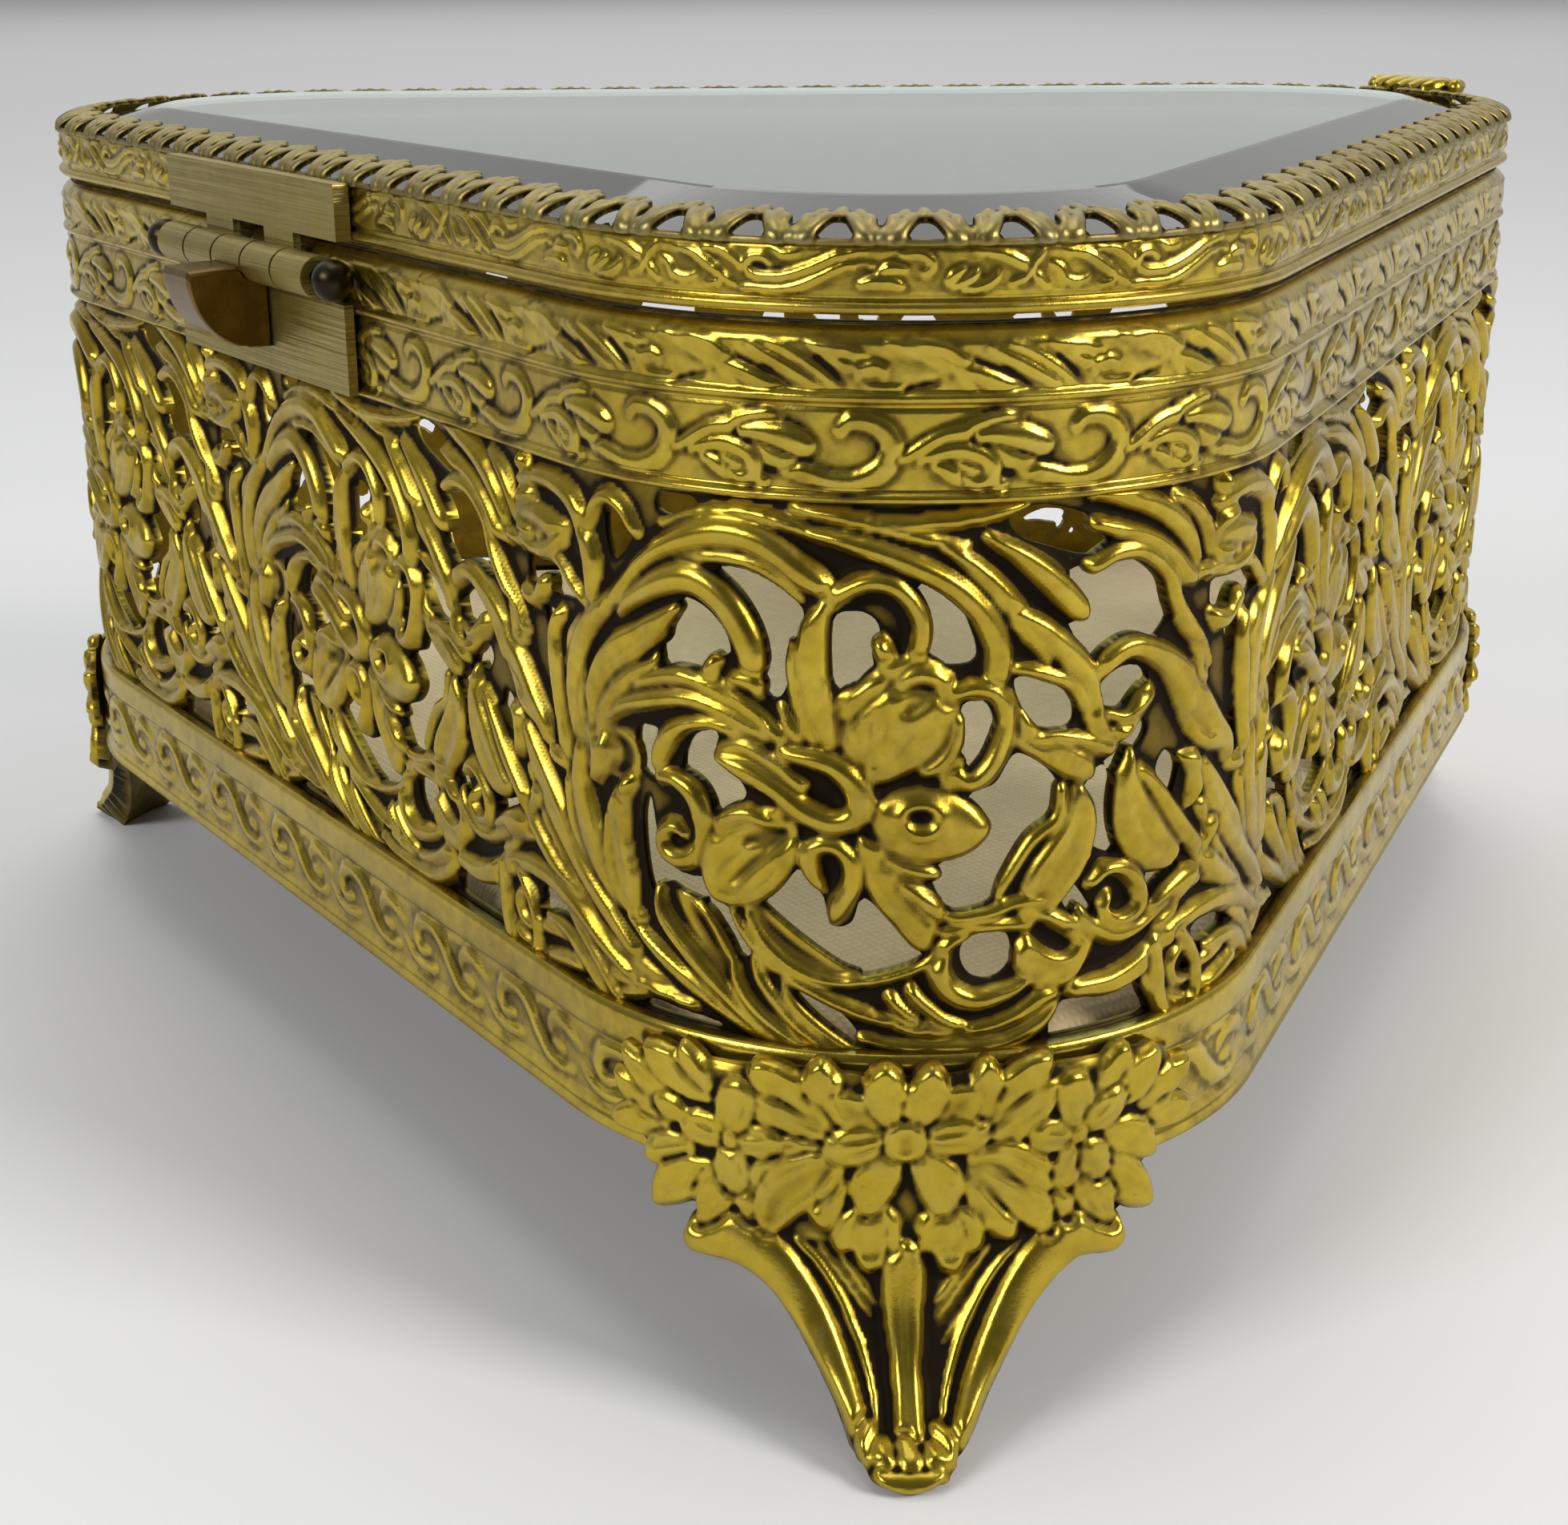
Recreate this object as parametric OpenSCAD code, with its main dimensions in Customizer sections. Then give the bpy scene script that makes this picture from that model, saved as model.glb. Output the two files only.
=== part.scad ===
// Rounded three-sided jewellery casket: pierced scrollwork wall between embossed
// bands, bevelled glass lid in a toothed gallery, three cast corner feet and a
// stop hinge in the middle of the back side. Millimetres, +Z up.
// Heights are written from the top of the body's upper band and lifted by rim_height.

/* [Plan] */
// radius of each rounded corner, at the body's outer face
corner_radius = 27; // [20:0.5:34]
// distance from the plan centre to each corner's arc centre
corner_centre = 51; // [40:0.5:62]
// steps in each corner's arc
arc_steps = 24; // [12:4:36]
// where the plan centre lies along X
centre_x = -0.90; // [-2:0.01:2]
// where the plan centre lies along Y
centre_y = 15.16; // [10:0.01:20]

/* [Heights] */
// height of the upper band's top line above the floor
rim_height = 72; // [60:0.5:84]
// foot of the upper band below its top line
band_drop = 9.8; // [7:0.1:12]
// top of the lower band below the upper band's top line
low_band_top = 46; // [40:0.5:50]
// foot of the lower band below the upper band's top line
low_band_foot = 55.8; // [50:0.1:60]
// top of the fabric pad below the upper band's top line
pad_top = 45.2; // [43:0.1:52]

/* [Sheet] */
// thickness of the embossed strips
band_wall = 0.8; // [0.6:0.05:1.2]
// thickness of the pierced wall
pierced_wall = 1.2; // [0.8:0.05:1.6]
// thickness of the bottom plate
base_sheet = 0.8; // [0.6:0.1:1.5]

/* [Pierced wall] */
// pattern repeats round the whole wall
repeats = 8; // [4:1:12]

/* [Lid] */
// underside of the lid band above the upper band's top line
lid_foot = 1.45; // [1.2:0.05:2]
// top of the lid band above the same line
lid_band_top = 5.45; // [4.5:0.05:7]
// top of the toothed gallery above the same line
gallery_top = 7.2; // [6.5:0.05:9]
// gallery teeth round the whole lid
teeth = 81; // [60:3:99]
// top face of the glass above the same line
glass_top = 7.45; // [6.5:0.05:9]

/* [Hinge] */
// centre of the hinge along X, from the plan centre
hinge_x = 1.5; // [-4:0.1:4]
// hinge axis above the upper band's top line
hinge_z = -1.1; // [-3:0.1:1]
// hinge axis behind the back wall's outer face
hinge_out = 2.1; // [1.9:0.05:3]
// knuckle barrel radius
barrel_r = 1.6; // [1.2:0.05:2.2]
// pin radius
pin_r = 0.8; // [0.5:0.05:1.1]
// radial running clearance of the pin in its knuckles
pin_gap = 0.06; // [0.02:0.01:0.1]
// width of both hinge leaves
leaf_w = 32; // [24:0.5:40]

/* [Feet] */
// direction the back left foot faces, a little off its corner's middle at 150
foot_a = 144.5; // [142:0.5:158]
// direction the back right foot faces; its corner's middle is at 30
foot_b = 30; // [26:0.5:34]
// direction the front foot faces; its corner's middle is at 270
foot_c = 270; // [266:0.5:274]

/* [Hidden] */
$fn = 96;

brass = [0.62, 0.50, 0.17];
brass_dark = [0.45, 0.36, 0.12];
side_half = corner_centre * cos(30);
apothem = corner_centre / 2 + corner_radius;
arc_half = corner_radius * PI / 3;
third = 2 * side_half + 2 * arc_half;
period = 3 * third / repeats;
axis_y = apothem + hinge_out;
knuckle = 5.7;

// moves a plan-centred shape at rim heights into the row frame
module seat() { translate([centre_x, centre_y, rim_height]) children(); }

// solid rounded triangle, grown outward by g, centred on the plan centre; each corner's
// arc is laid out in short equal steps, as a strip is worked round a former
module plan(g) {
    r = corner_radius + g;
    polygon([for (a = [30, 150, 270]) for (i = [0 : arc_steps]) let (t = a - 60 + 120 * i / arc_steps)
        [corner_centre * cos(a) + r * cos(t), corner_centre * sin(a) + r * sin(t)]]);
}

// wall of rounded-triangle plan between two growths and two heights
module wall(g_in, g_out, z0, z1) {
    translate([0, 0, z0]) linear_extrude(z1 - z0)
        difference() { plan(g_out); plan(g_in); }
}

// places a child at running length u along the wall (0 at the back left corner's
// middle, growing clockwise along the back), with +X outward and +Y along the wall
module at_wall(u) {
    k = floor(u / third);
    t = u - k * third;
    rotate([0, 0, -120 * k])
        if (t < arc_half)
            translate([-side_half, apothem - corner_radius, 0])
                rotate([0, 0, 150 - t / corner_radius * 180 / PI])
                    translate([corner_radius, 0, 0]) children();
        else if (t > third - arc_half)
            translate([side_half, apothem - corner_radius, 0])
                rotate([0, 0, 90 - (t - third + arc_half) / corner_radius * 180 / PI])
                    translate([corner_radius, 0, 0]) children();
        else
            translate([-side_half + t - arc_half, apothem, 0])
                rotate([0, 0, 90]) children();
}

// one piercing: an outline in (along the wall, height), cut straight through
module pierce(outline) {
    rotate([90, 0, 90]) translate([0, 0, -3]) linear_extrude(6) polygon(outline);
}

// piercings of one repeat of the scrollwork: [position along the repeat, outline]
cuts = [
    [13.2, [[-3.4, -17.2], [-2.2, -14.6], [0.4, -14.4], [2.2, -16.4], [2.4, -20.4], [0.6, -20.2], [-0.8, -16.8]]],
    [17.6, [[-2.0, -21.6], [-1.4, -18.2], [0.4, -16.8], [2.4, -18.0], [2.6, -20.8], [0.4, -21.8]]],
    [6.2, [[-1.6, -19.6], [-1.8, -17.4], [0.2, -16.6], [1.4, -18.2], [1.0, -20.6]]],
    [1.9, [[-2.4, -17.0], [-2.4, -14.2], [0.6, -13.0], [2.6, -14.6], [1.6, -17.4], [-0.6, -19.8]]],
    [19.2, [[-2.6, -26.6], [-2.0, -25.6], [1.4, -25.4], [2.8, -27.6], [1.6, -30.0], [0.2, -29.2]]],
    [12.2, [[-3.6, -39.4], [-1.6, -37.8], [2.4, -36.6], [5.6, -36.2], [6.4, -39.0], [3.4, -40.6], [-0.6, -40.8]]],
    [3.4, [[-3.4, -38.0], [-3.0, -36.2], [0.6, -35.4], [3.2, -36.8], [4.6, -39.6], [0.6, -40.6]]],
    [-3.2, [[-3.0, -33.6], [-3.4, -29.6], [-1.0, -26.2], [1.8, -28.6], [2.6, -33.0], [0.0, -35.6]]],
    [-6.0, [[-1.8, -24.4], [-1.8, -22.4], [0.2, -21.6], [1.8, -23.0], [1.2, -24.6]]],
    [-1.4, [[-1.2, -25.8], [-1.2, -23.4], [0.0, -22.6], [1.2, -23.8], [1.0, -25.6]]],
    [-12.6, [[-2.8, -16.6], [-2.6, -13.6], [0.6, -13.0], [3.2, -14.4], [2.4, -17.2], [0.2, -18.4]]],
    [-11.6, [[-2.0, -28.0], [-2.4, -24.6], [-0.6, -22.4], [1.6, -23.6], [1.8, -26.6]]],
    [-16.2, [[-2.2, -38.6], [-2.2, -36.2], [0.4, -34.6], [2.2, -36.4], [1.4, -38.8]]],
    [-12.4, [[-3.4, -45.2], [-3.4, -43.6], [1.6, -43.0], [3.6, -44.4], [3.4, -45.4]]],
    [22.6, [[-3.0, -45.4], [-2.6, -44.0], [1.6, -44.0], [3.8, -45.4]]],
    [27.0, [[-1.6, -17.0], [-1.8, -14.0], [0.4, -12.6], [1.8, -14.6], [1.4, -17.4]]],
    [30.6, [[-1.4, -30.0], [-1.6, -25.0], [0.6, -21.4], [1.4, -24.0], [1.4, -28.6]]]
];

module bottom_plate() {
    color(brass_dark) seat() translate([0, 0, -low_band_foot + 0.6]) linear_extrude(base_sheet) plan(-0.1);
}

module lower_band() {
    color(brass) seat() union() {
        wall(0.34, 0.2 + band_wall, -low_band_foot, -low_band_top);
        wall(0.6, 1.5, -low_band_foot, -low_band_foot + 1.1);
        wall(0.6, 1.2, -low_band_top - 0.8, -low_band_top);
    }
}

module pierced_wall_ring() {
    color(brass) seat() difference() {
        wall(-0.9, -0.9 + pierced_wall, -low_band_top - 0.6, -band_drop);
        for (i = [0 : repeats - 1]) for (c = cuts)
            at_wall(((i + 0.5) * period + c[0]) - 0.5 * period)
                pierce(c[1]);
    }
}

module upper_band() {
    color(brass) seat() union() {
        wall(-0.6, -0.6 + band_wall, -band_drop, -0.9);
        wall(-0.6, 0, -0.9, 0);
        wall(0, 0.45, -3.7, -3.2);
        wall(0, 0.45, -band_drop, -band_drop + 0.6);
    }
}

module rim_bead() {
    color(brass) seat() union() {
        wall(-2.0, -0.7, -1.2, 0.9);
        wall(-0.7, -0.3, 0.05, 0.6);
    }
}

module lining_board() {
    color([0.55, 0.47, 0.36]) seat() translate([0, 0, -low_band_foot + 0.6 + base_sheet + 0.05])
        linear_extrude(1.5) plan(-1.5);
}

module lining_pad() {
    z0 = -low_band_foot + 0.6 + base_sheet + 1.6;
    color([0.72, 0.64, 0.50]) seat() union() {
        translate([0, 0, z0]) linear_extrude(-pad_top - z0 - 1.6) plan(-1.4);
        translate([0, 0, -pad_top - 1.7]) linear_extrude(0.9) plan(-2.2);
        translate([0, 0, -pad_top - 0.9]) linear_extrude(0.9) plan(-4.2);
    }
}

// one cast foot in its own frame: +X outward from the plan centre
module foot_shape() {
    // flower bracket wrapped on the corner
    translate([corner_centre, 0, 0]) difference() {
        intersection() {
            translate([0, 0, -61.2]) cylinder(r = corner_radius + 3.3, h = 14);
            translate([0, 0, -61.2]) linear_extrude(14)
                polygon([[0, 0], [36 * cos(40), -36 * sin(40)], [44, 0], [36 * cos(40), 36 * sin(40)]]);
            translate([0, 0, 0]) rotate([90, 0, 90]) linear_extrude(40)
                polygon([[-19.5, -50.2], [-17.2, -47.6], [-12.0, -48.0], [-7.0, -46.9], [0, -47.4], [7.0, -46.9],
                         [12.0, -48.0], [17.2, -47.6], [19.5, -50.2], [19.0, -55.6], [15.5, -58.4], [13.0, -58.9],
                         [12.4, -61.2], [-12.4, -61.2], [-13.0, -58.9], [-15.5, -58.4], [-19.0, -55.6]]);
        }
        translate([0, 0, -62]) cylinder(r = corner_radius + 1.6, h = 16);
    }
    // splayed leg, hollow at the back
    intersection() {
        rotate([90, 0, 0]) translate([0, 0, -15]) linear_extrude(30)
            polygon([[79.4, -57.0], [81.2, -57.0], [81.6, -60.5], [82.6, -63.8], [84.6, -66.9], [87.2, -69.2],
                     [90.4, -70.6], [90.8, -71.2], [90.4, -72.0], [84.4, -72.0], [82.2, -69.8], [80.4, -66.6],
                     [79.4, -63.2], [78.8, -60.0]]);
        rotate([90, 0, 90]) translate([0, 0, 70]) linear_extrude(30)
            polygon([[-12.4, -57.0], [-12.6, -60.6], [-9.4, -61.4], [-6.6, -63.2], [-4.8, -65.6], [-3.6, -68.0],
                     [-3.0, -70.2], [-3.2, -72.0], [3.2, -72.0], [3.0, -70.2], [3.6, -68.0], [4.8, -65.6],
                     [6.6, -63.2], [9.4, -61.4], [12.6, -60.6], [12.4, -57.0]]);
    }
}

// a foot on the corner whose middle is at angle m, facing direction f square to the wall
module placed_foot(m, f) {
    color(brass) seat() translate([corner_centre * cos(m), corner_centre * sin(m), 0])
        rotate([0, 0, f]) translate([-corner_centre, 0, 0]) foot_shape();
}
module foot_back_left() { placed_foot(150, foot_a); }
module foot_back_right() { placed_foot(30, foot_b); }
module foot_front() { placed_foot(270, foot_c); }

// a knuckle from x0 to x1 along the hinge axis, bored for the pin
module knuckle_tube(x0, x1) {
    translate([x0, axis_y, hinge_z]) rotate([0, 90, 0]) cylinder(r = barrel_r, h = x1 - x0);
}
module pin_bore() {
    translate([hinge_x - 20, axis_y, hinge_z]) rotate([0, 90, 0]) cylinder(r = pin_r + pin_gap, h = 40);
}
// start of knuckle i of five, along X
function kx(i) = hinge_x + (i - 2.5) * knuckle;

module hinge_leaf_body() {
    color(brass) seat() difference() {
        union() {
            difference() {
                translate([hinge_x - leaf_w / 2, apothem + 0.5, -band_drop + 0.1])
                    cube([leaf_w, 0.75, band_drop - 1.2]);
                for (i = [1, 3]) translate([kx(i) - 0.15, apothem, hinge_z - barrel_r - 0.4]) cube([knuckle + 0.3, 2, 5]);
                for (x = [hinge_x - leaf_w / 2 - 1, kx(5) - 0.1]) translate([x, apothem, hinge_z - 1.9]) cube([leaf_w / 2 - 2.5 * knuckle + 1.1, 2, 5]);
            }
            for (i = [0, 2, 4]) knuckle_tube(kx(i) + 0.15, kx(i + 1) - 0.15);
        }
        pin_bore();
    }
}

// quarter-round lug under the middle knuckle, on which the opened lid's leaf comes to rest
module hinge_stop() {
    color(brass_dark) seat() difference() {
        translate([kx(2) + 0.15, 0, 0]) rotate([90, 0, 90]) linear_extrude(knuckle - 0.3)
            polygon([[apothem + 1.28, -1.42], [apothem + 1.28, -7.75], [apothem + 3.0, -7.7], [apothem + 4.5, -7.3],
                     [apothem + 6.0, -6.3], [apothem + 7.1, -4.8], [apothem + 7.7, -3.1], [apothem + 7.85, -2.0],
                     [apothem + 7.7, -1.5], [apothem + 5.5, -1.38]]);
        translate([kx(2) - 1, axis_y, hinge_z]) rotate([0, 90, 0]) cylinder(r = barrel_r + 0.02, h = knuckle + 2);
    }
}

module hinge_leaf_lid() {
    color(brass) seat() difference() {
        union() {
            translate([hinge_x - leaf_w / 2, apothem + 0.33, lid_foot + 0.15]) cube([leaf_w, 1.22, lid_band_top - lid_foot + 0.1]);
            for (i = [1, 3]) {
                knuckle_tube(kx(i) + 0.15, kx(i + 1) - 0.15);
                translate([kx(i) + 0.15, apothem + 0.95, hinge_z + 0.4]) cube([knuckle - 0.3, 0.6, lid_foot - hinge_z]);
            }
        }
        pin_bore();
    }
}

module hinge_pin() {
    color(brass_dark) seat() translate([kx(0) - 0.4, axis_y, hinge_z]) rotate([0, 90, 0])
        cylinder(r = pin_r, h = 5 * knuckle + 0.8);
}

module pin_ball_left() {
    color(brass_dark) seat() translate([kx(0) - 1.95, axis_y, hinge_z]) rotate([0, 90, 0])
        rotate_extrude() intersection() { circle(1.55); translate([0, -3]) square([3, 6]); }
}
module pin_ball_right() {
    color(brass_dark) seat() translate([kx(5) + 1.95, axis_y, hinge_z]) rotate([0, 90, 0])
        rotate_extrude() intersection() { circle(1.55); translate([0, -3]) square([3, 6]); }
}

module lid_band() {
    color(brass) seat() wall(-0.7, 0.0, lid_foot + 0.7, lid_band_top);
}

module lid_edge_roll() {
    color(brass) seat() wall(-0.7, 0.3, lid_foot, lid_foot + 0.7);
}

// crown of teeth bent inward over the glass edge
module lid_gallery() {
    color(brass) seat() union() {
        wall(-1.3, -0.75, lid_band_top - 0.9, lid_band_top + 0.5);
        wall(-0.8, -0.1, lid_band_top + 0.05, lid_band_top + 0.5);
        for (i = [0 : teeth - 1])
            at_wall((i + 0.4) * 3 * third / teeth)
                rotate([90, 0, 0]) translate([0, 0, -1.9]) linear_extrude(3.8)
                    polygon([[-0.4, lid_band_top + 0.3], [-0.6, lid_band_top + 1.1], [-1.4, gallery_top - 0.4],
                             [-2.4, gallery_top], [-3.2, gallery_top - 0.1], [-4.2, gallery_top - 0.7],
                             [-4.2, gallery_top - 1.0], [-3.1, gallery_top - 0.6], [-2.4, gallery_top - 0.5],
                             [-1.8, gallery_top - 0.8], [-1.2, lid_band_top + 0.9], [-1.1, lid_band_top + 0.3]]);
    }
}

module glass_seat() {
    color(brass_dark) seat() union() {
        wall(-1.35, -0.75, lid_foot + 0.6, lid_foot + 2.6);
        wall(-5.0, -1.3, lid_foot + 2.1, lid_foot + 2.6);
    }
}

module lid_glass() {
    z0 = lid_foot + 2.62;
    color([0.80, 0.90, 0.86, 0.35]) seat() union() {
        translate([0, 0, z0]) linear_extrude(5.2 - z0) plan(-1.5);
        translate([0, 0, 5.15]) linear_extrude(0.85) plan(-2.4);
        translate([0, 0, 5.95]) linear_extrude(0.65) plan(-5.2);
        translate([0, 0, 6.55]) linear_extrude(glass_top - 6.55) plan(-9.2);
    }
}

// small cast lift on the front corner of the lid
module thumb_lift() {
    color(brass) seat() translate([0, -corner_centre - corner_radius, 0]) intersection() {
        rotate([90, 0, 90]) translate([0, 0, -6]) linear_extrude(12)
            polygon([[-0.36, lid_foot + 0.3], [-1.6, lid_foot + 0.7], [-2.6, lid_foot + 1.4], [-3.4, lid_foot + 3.8], [-3.0, lid_band_top + 1.6],
                     [-3.8, 7.5], [-3.0, 8.2], [-1.0, 8.4], [2.4, 7.9], [2.6, 7.5], [0.6, 7.5], [-0.02, 7.1],
                     [-0.02, lid_foot + 0.75], [-0.33, lid_foot + 0.73]]);
        rotate([90, 0, 0]) translate([0, 0, -6]) linear_extrude(12)
            polygon([[-2.2, lid_foot], [-4.4, lid_foot + 2.2], [-3.6, lid_band_top], [-5.8, 7.3], [-4.6, 8.1], [0, 8.6],
                     [4.6, 8.1], [5.8, 7.3], [3.6, lid_band_top], [4.4, lid_foot + 2.2], [2.2, lid_foot]]);
    }
}

bottom_plate();
lower_band();
pierced_wall_ring();
upper_band();
rim_bead();
lining_board();
lining_pad();
foot_back_left();
foot_back_right();
foot_front();
hinge_leaf_body();
hinge_stop();
hinge_leaf_lid();
hinge_pin();
pin_ball_left();
pin_ball_right();
lid_band();
lid_edge_roll();
lid_gallery();
glass_seat();
lid_glass();
thumb_lift();
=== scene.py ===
import bpy, math
import numpy as np
from mathutils import Matrix, Vector


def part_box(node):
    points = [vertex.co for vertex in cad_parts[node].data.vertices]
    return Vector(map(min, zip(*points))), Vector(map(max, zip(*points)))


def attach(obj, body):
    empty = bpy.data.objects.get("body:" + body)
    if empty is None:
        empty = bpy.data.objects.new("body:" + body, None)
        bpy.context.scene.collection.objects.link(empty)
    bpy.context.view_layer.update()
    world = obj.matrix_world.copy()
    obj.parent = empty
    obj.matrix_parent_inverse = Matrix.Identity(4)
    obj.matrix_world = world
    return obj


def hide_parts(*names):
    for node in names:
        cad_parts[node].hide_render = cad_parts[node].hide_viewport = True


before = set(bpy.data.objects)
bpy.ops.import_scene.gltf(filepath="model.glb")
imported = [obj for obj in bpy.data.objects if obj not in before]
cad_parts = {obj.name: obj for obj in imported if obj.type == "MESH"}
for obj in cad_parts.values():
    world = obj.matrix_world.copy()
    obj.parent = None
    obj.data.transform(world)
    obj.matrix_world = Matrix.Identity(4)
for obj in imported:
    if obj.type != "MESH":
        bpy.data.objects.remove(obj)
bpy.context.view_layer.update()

# ------------------------------------------------------------------ plan
MM = 0.001
CX, CY, ZR = -0.9, 15.16, 72.0           # plan centre and rim line in the row frame, mm
RR, DC = 27.0, 51.0                      # corner radius, distance of arc centres
SH = DC * math.cos(math.radians(30))     # half of a straight side
AP = DC / 2 + RR                         # apothem
LA = RR * math.pi / 3                    # half a corner's arc
TH = 2 * SH + 2 * LA                     # one third of the perimeter
PERIM = 3 * TH
P = PERIM / 8                            # scrollwork repeat


def plan_xy(u, off):
    """u: running length on the wall's face, from the back left corner's middle along the back; off: outward."""
    u = np.asarray(u, float)
    off = np.asarray(off, float) + 0 * u
    k = np.floor(u / TH)
    t = u - k * TH
    x = np.empty_like(t)
    y = np.empty_like(t)
    a = t < LA
    b = t > TH - LA
    m = ~(a | b)
    x[m] = -SH + t[m] - LA
    y[m] = AP + off[m]
    an = np.radians(150) - t[a] / RR
    x[a] = -SH + (RR + off[a]) * np.cos(an)
    y[a] = AP - RR + (RR + off[a]) * np.sin(an)
    an = np.radians(90) - (t[b] - TH + LA) / RR
    x[b] = SH + (RR + off[b]) * np.cos(an)
    y[b] = AP - RR + (RR + off[b]) * np.sin(an)
    c, s = np.cos(-np.radians(120) * k), np.sin(-np.radians(120) * k)
    return x * c - y * s, x * s + y * c


def wall_points(u, z, off):
    x, y = plan_xy(u, off)
    return np.stack([x + CX, y + CY, z + ZR], -1) * MM


# ------------------------------------------------------------------ mesh helpers
def new_object(name, co, faces, body, material, smooth=True, attrs=None, flat=None, replaces=()):
    """co: (n, 3) metres; faces: list of arrays of shape (m, 3) or (m, 4)."""
    me = bpy.data.meshes.new(name)
    faces = [np.asarray(f, np.int64) for f in faces if len(f)]
    tot = np.concatenate([np.full(len(f), f.shape[1], np.int32) for f in faces])
    loops = np.concatenate([f.reshape(-1) for f in faces]).astype(np.int32)
    me.vertices.add(len(co))
    me.vertices.foreach_set("co", np.asarray(co, np.float32).reshape(-1))
    me.loops.add(len(loops))
    me.loops.foreach_set("vertex_index", loops)
    me.polygons.add(len(tot))
    me.polygons.foreach_set("loop_start", np.concatenate([[0], np.cumsum(tot)[:-1]]).astype(np.int32))
    sm = np.full(len(tot), bool(smooth))
    if flat is not None:
        sm[flat] = False
    me.polygons.foreach_set("use_smooth", sm)
    me.update(calc_edges=True)
    me.validate()
    for key, val in (attrs or {}).items():
        at = me.attributes.new(key, "FLOAT", "POINT")
        at.data.foreach_set("value", np.asarray(val, np.float32).reshape(-1))
    ob = bpy.data.objects.new(name, me)
    bpy.context.scene.collection.objects.link(ob)
    me.materials.append(material)
    if body:
        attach(ob, body)
    if replaces:
        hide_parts(*replaces)
    return ob


def boundary_edges(tris):
    """directed edges used once; tris: (m, 3)"""
    e = np.concatenate([tris[:, [0, 1]], tris[:, [1, 2]], tris[:, [2, 0]]])
    n = int(tris.max()) + 1
    key = e[:, 0] * n + e[:, 1]
    rev = e[:, 1] * n + e[:, 0]
    return e[~np.isin(key, rev)]


def relief_sheet(U, Z, front, back, s, wrap, place):
    """A sheet of metal from a height field. U, Z: grid lines (mm); front, back: outward offsets (nz, nu);
    s: signed distance to the outline (positive in metal) or None; place(u, z, off) gives points in metres.
    Returns points, faces, the indices of the flat-shaded side faces, and the mask of grid points kept, for attributes."""
    nz, nu = front.shape
    UU, ZZ = np.meshgrid(U, Z)
    UU, ZZ = UU.copy(), ZZ.copy()
    h = abs(Z[1] - Z[0])
    if s is None:
        inn = np.ones((nz, nu), bool)
    else:
        if wrap:
            e = np.concatenate([s[:, -1:], s, s[:, :1]], 1)
            gu = (e[:, 2:] - e[:, :-2]) / 2 / h
        else:
            gu = np.gradient(s, axis=1) / h
        gz = np.gradient(s, axis=0) / h
        g2 = np.maximum(gu ** 2 + gz ** 2, 0.15)
        mv = (s < 0) & (s > -0.78 * h)
        d = np.clip(-s / g2, 0, 1.0 * h)
        UU = np.where(mv, UU + d * gu, UU)
        ZZ = np.where(mv, ZZ + d * gz, ZZ)
        inn = (s >= 0) | mv
    idx = np.arange(nz * nu).reshape(nz, nu)
    if wrap:
        a, b = idx[:-1, :], np.roll(idx, -1, 1)[:-1, :]
        d_, c = idx[1:, :], np.roll(idx, -1, 1)[1:, :]
    else:
        a, b, d_, c = idx[:-1, :-1], idx[:-1, 1:], idx[1:, :-1], idx[1:, 1:]
    fl = inn.reshape(-1)
    a, b, c, d_ = (x.reshape(-1) for x in (a, b, c, d_))
    ia, ib, ic, id_ = fl[a], fl[b], fl[c], fl[d_]
    n4 = ia & ib & ic & id_
    quads = np.stack([a, b, c, d_], 1)[n4]
    tri = []
    for keep, drop in (((a, b, c), id_), ((a, b, d_), ic), ((a, c, d_), ib), ((b, c, d_), ia)):
        m = ~drop & fl[keep[0]] & fl[keep[1]] & fl[keep[2]]
        tri.append(np.stack(keep, 1)[m])
    tri = np.concatenate(tri)
    # seen from outside, u grows to the left and z up, so the order (a, b, c, d) faces inward: turn it
    quads = quads[:, ::-1]
    tri = tri[:, ::-1]
    alltri = np.concatenate([quads[:, [0, 1, 2]], quads[:, [0, 2, 3]], tri])
    be = boundary_edges(alltri)
    N = nz * nu
    sides = np.stack([be[:, 1], be[:, 0], be[:, 0] + N, be[:, 1] + N], 1)
    qf, tf = quads, tri
    qb, tb = quads[:, ::-1] + N, tri[:, ::-1] + N
    pf = place(UU.reshape(-1), ZZ.reshape(-1), front.reshape(-1))
    pb = place(UU.reshape(-1), ZZ.reshape(-1), back.reshape(-1))
    co = np.concatenate([pf, pb])
    faces = [np.concatenate([qf, qb]), np.concatenate([tf, tb]), sides]
    used = np.zeros(2 * N, bool)
    for f in faces:
        used[f.reshape(-1)] = True
    new = np.cumsum(used) - 1
    faces = [new[f] for f in faces]
    nflat = len(faces[0]) + len(faces[1])
    tot = nflat + len(faces[2])
    return co[used], faces, np.arange(nflat, tot), used


def blur(a, r, wrap):
    """box-ish gaussian blur of a (nz, nu) array, r in cells"""
    k = np.exp(-0.5 * (np.arange(-3 * r, 3 * r + 1) / r) ** 2)
    k /= k.sum()
    n = len(k) // 2
    e = np.concatenate([a[:, -n:], a, a[:, :n]], 1) if wrap else np.pad(a, ((0, 0), (n, n)), "edge")
    out = sum(w * e[:, i:i + a.shape[1]] for i, w in enumerate(k))
    e = np.pad(out, ((n, n), (0, 0)), "edge")
    return sum(w * e[i:i + a.shape[0]] for i, w in enumerate(k))


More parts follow.
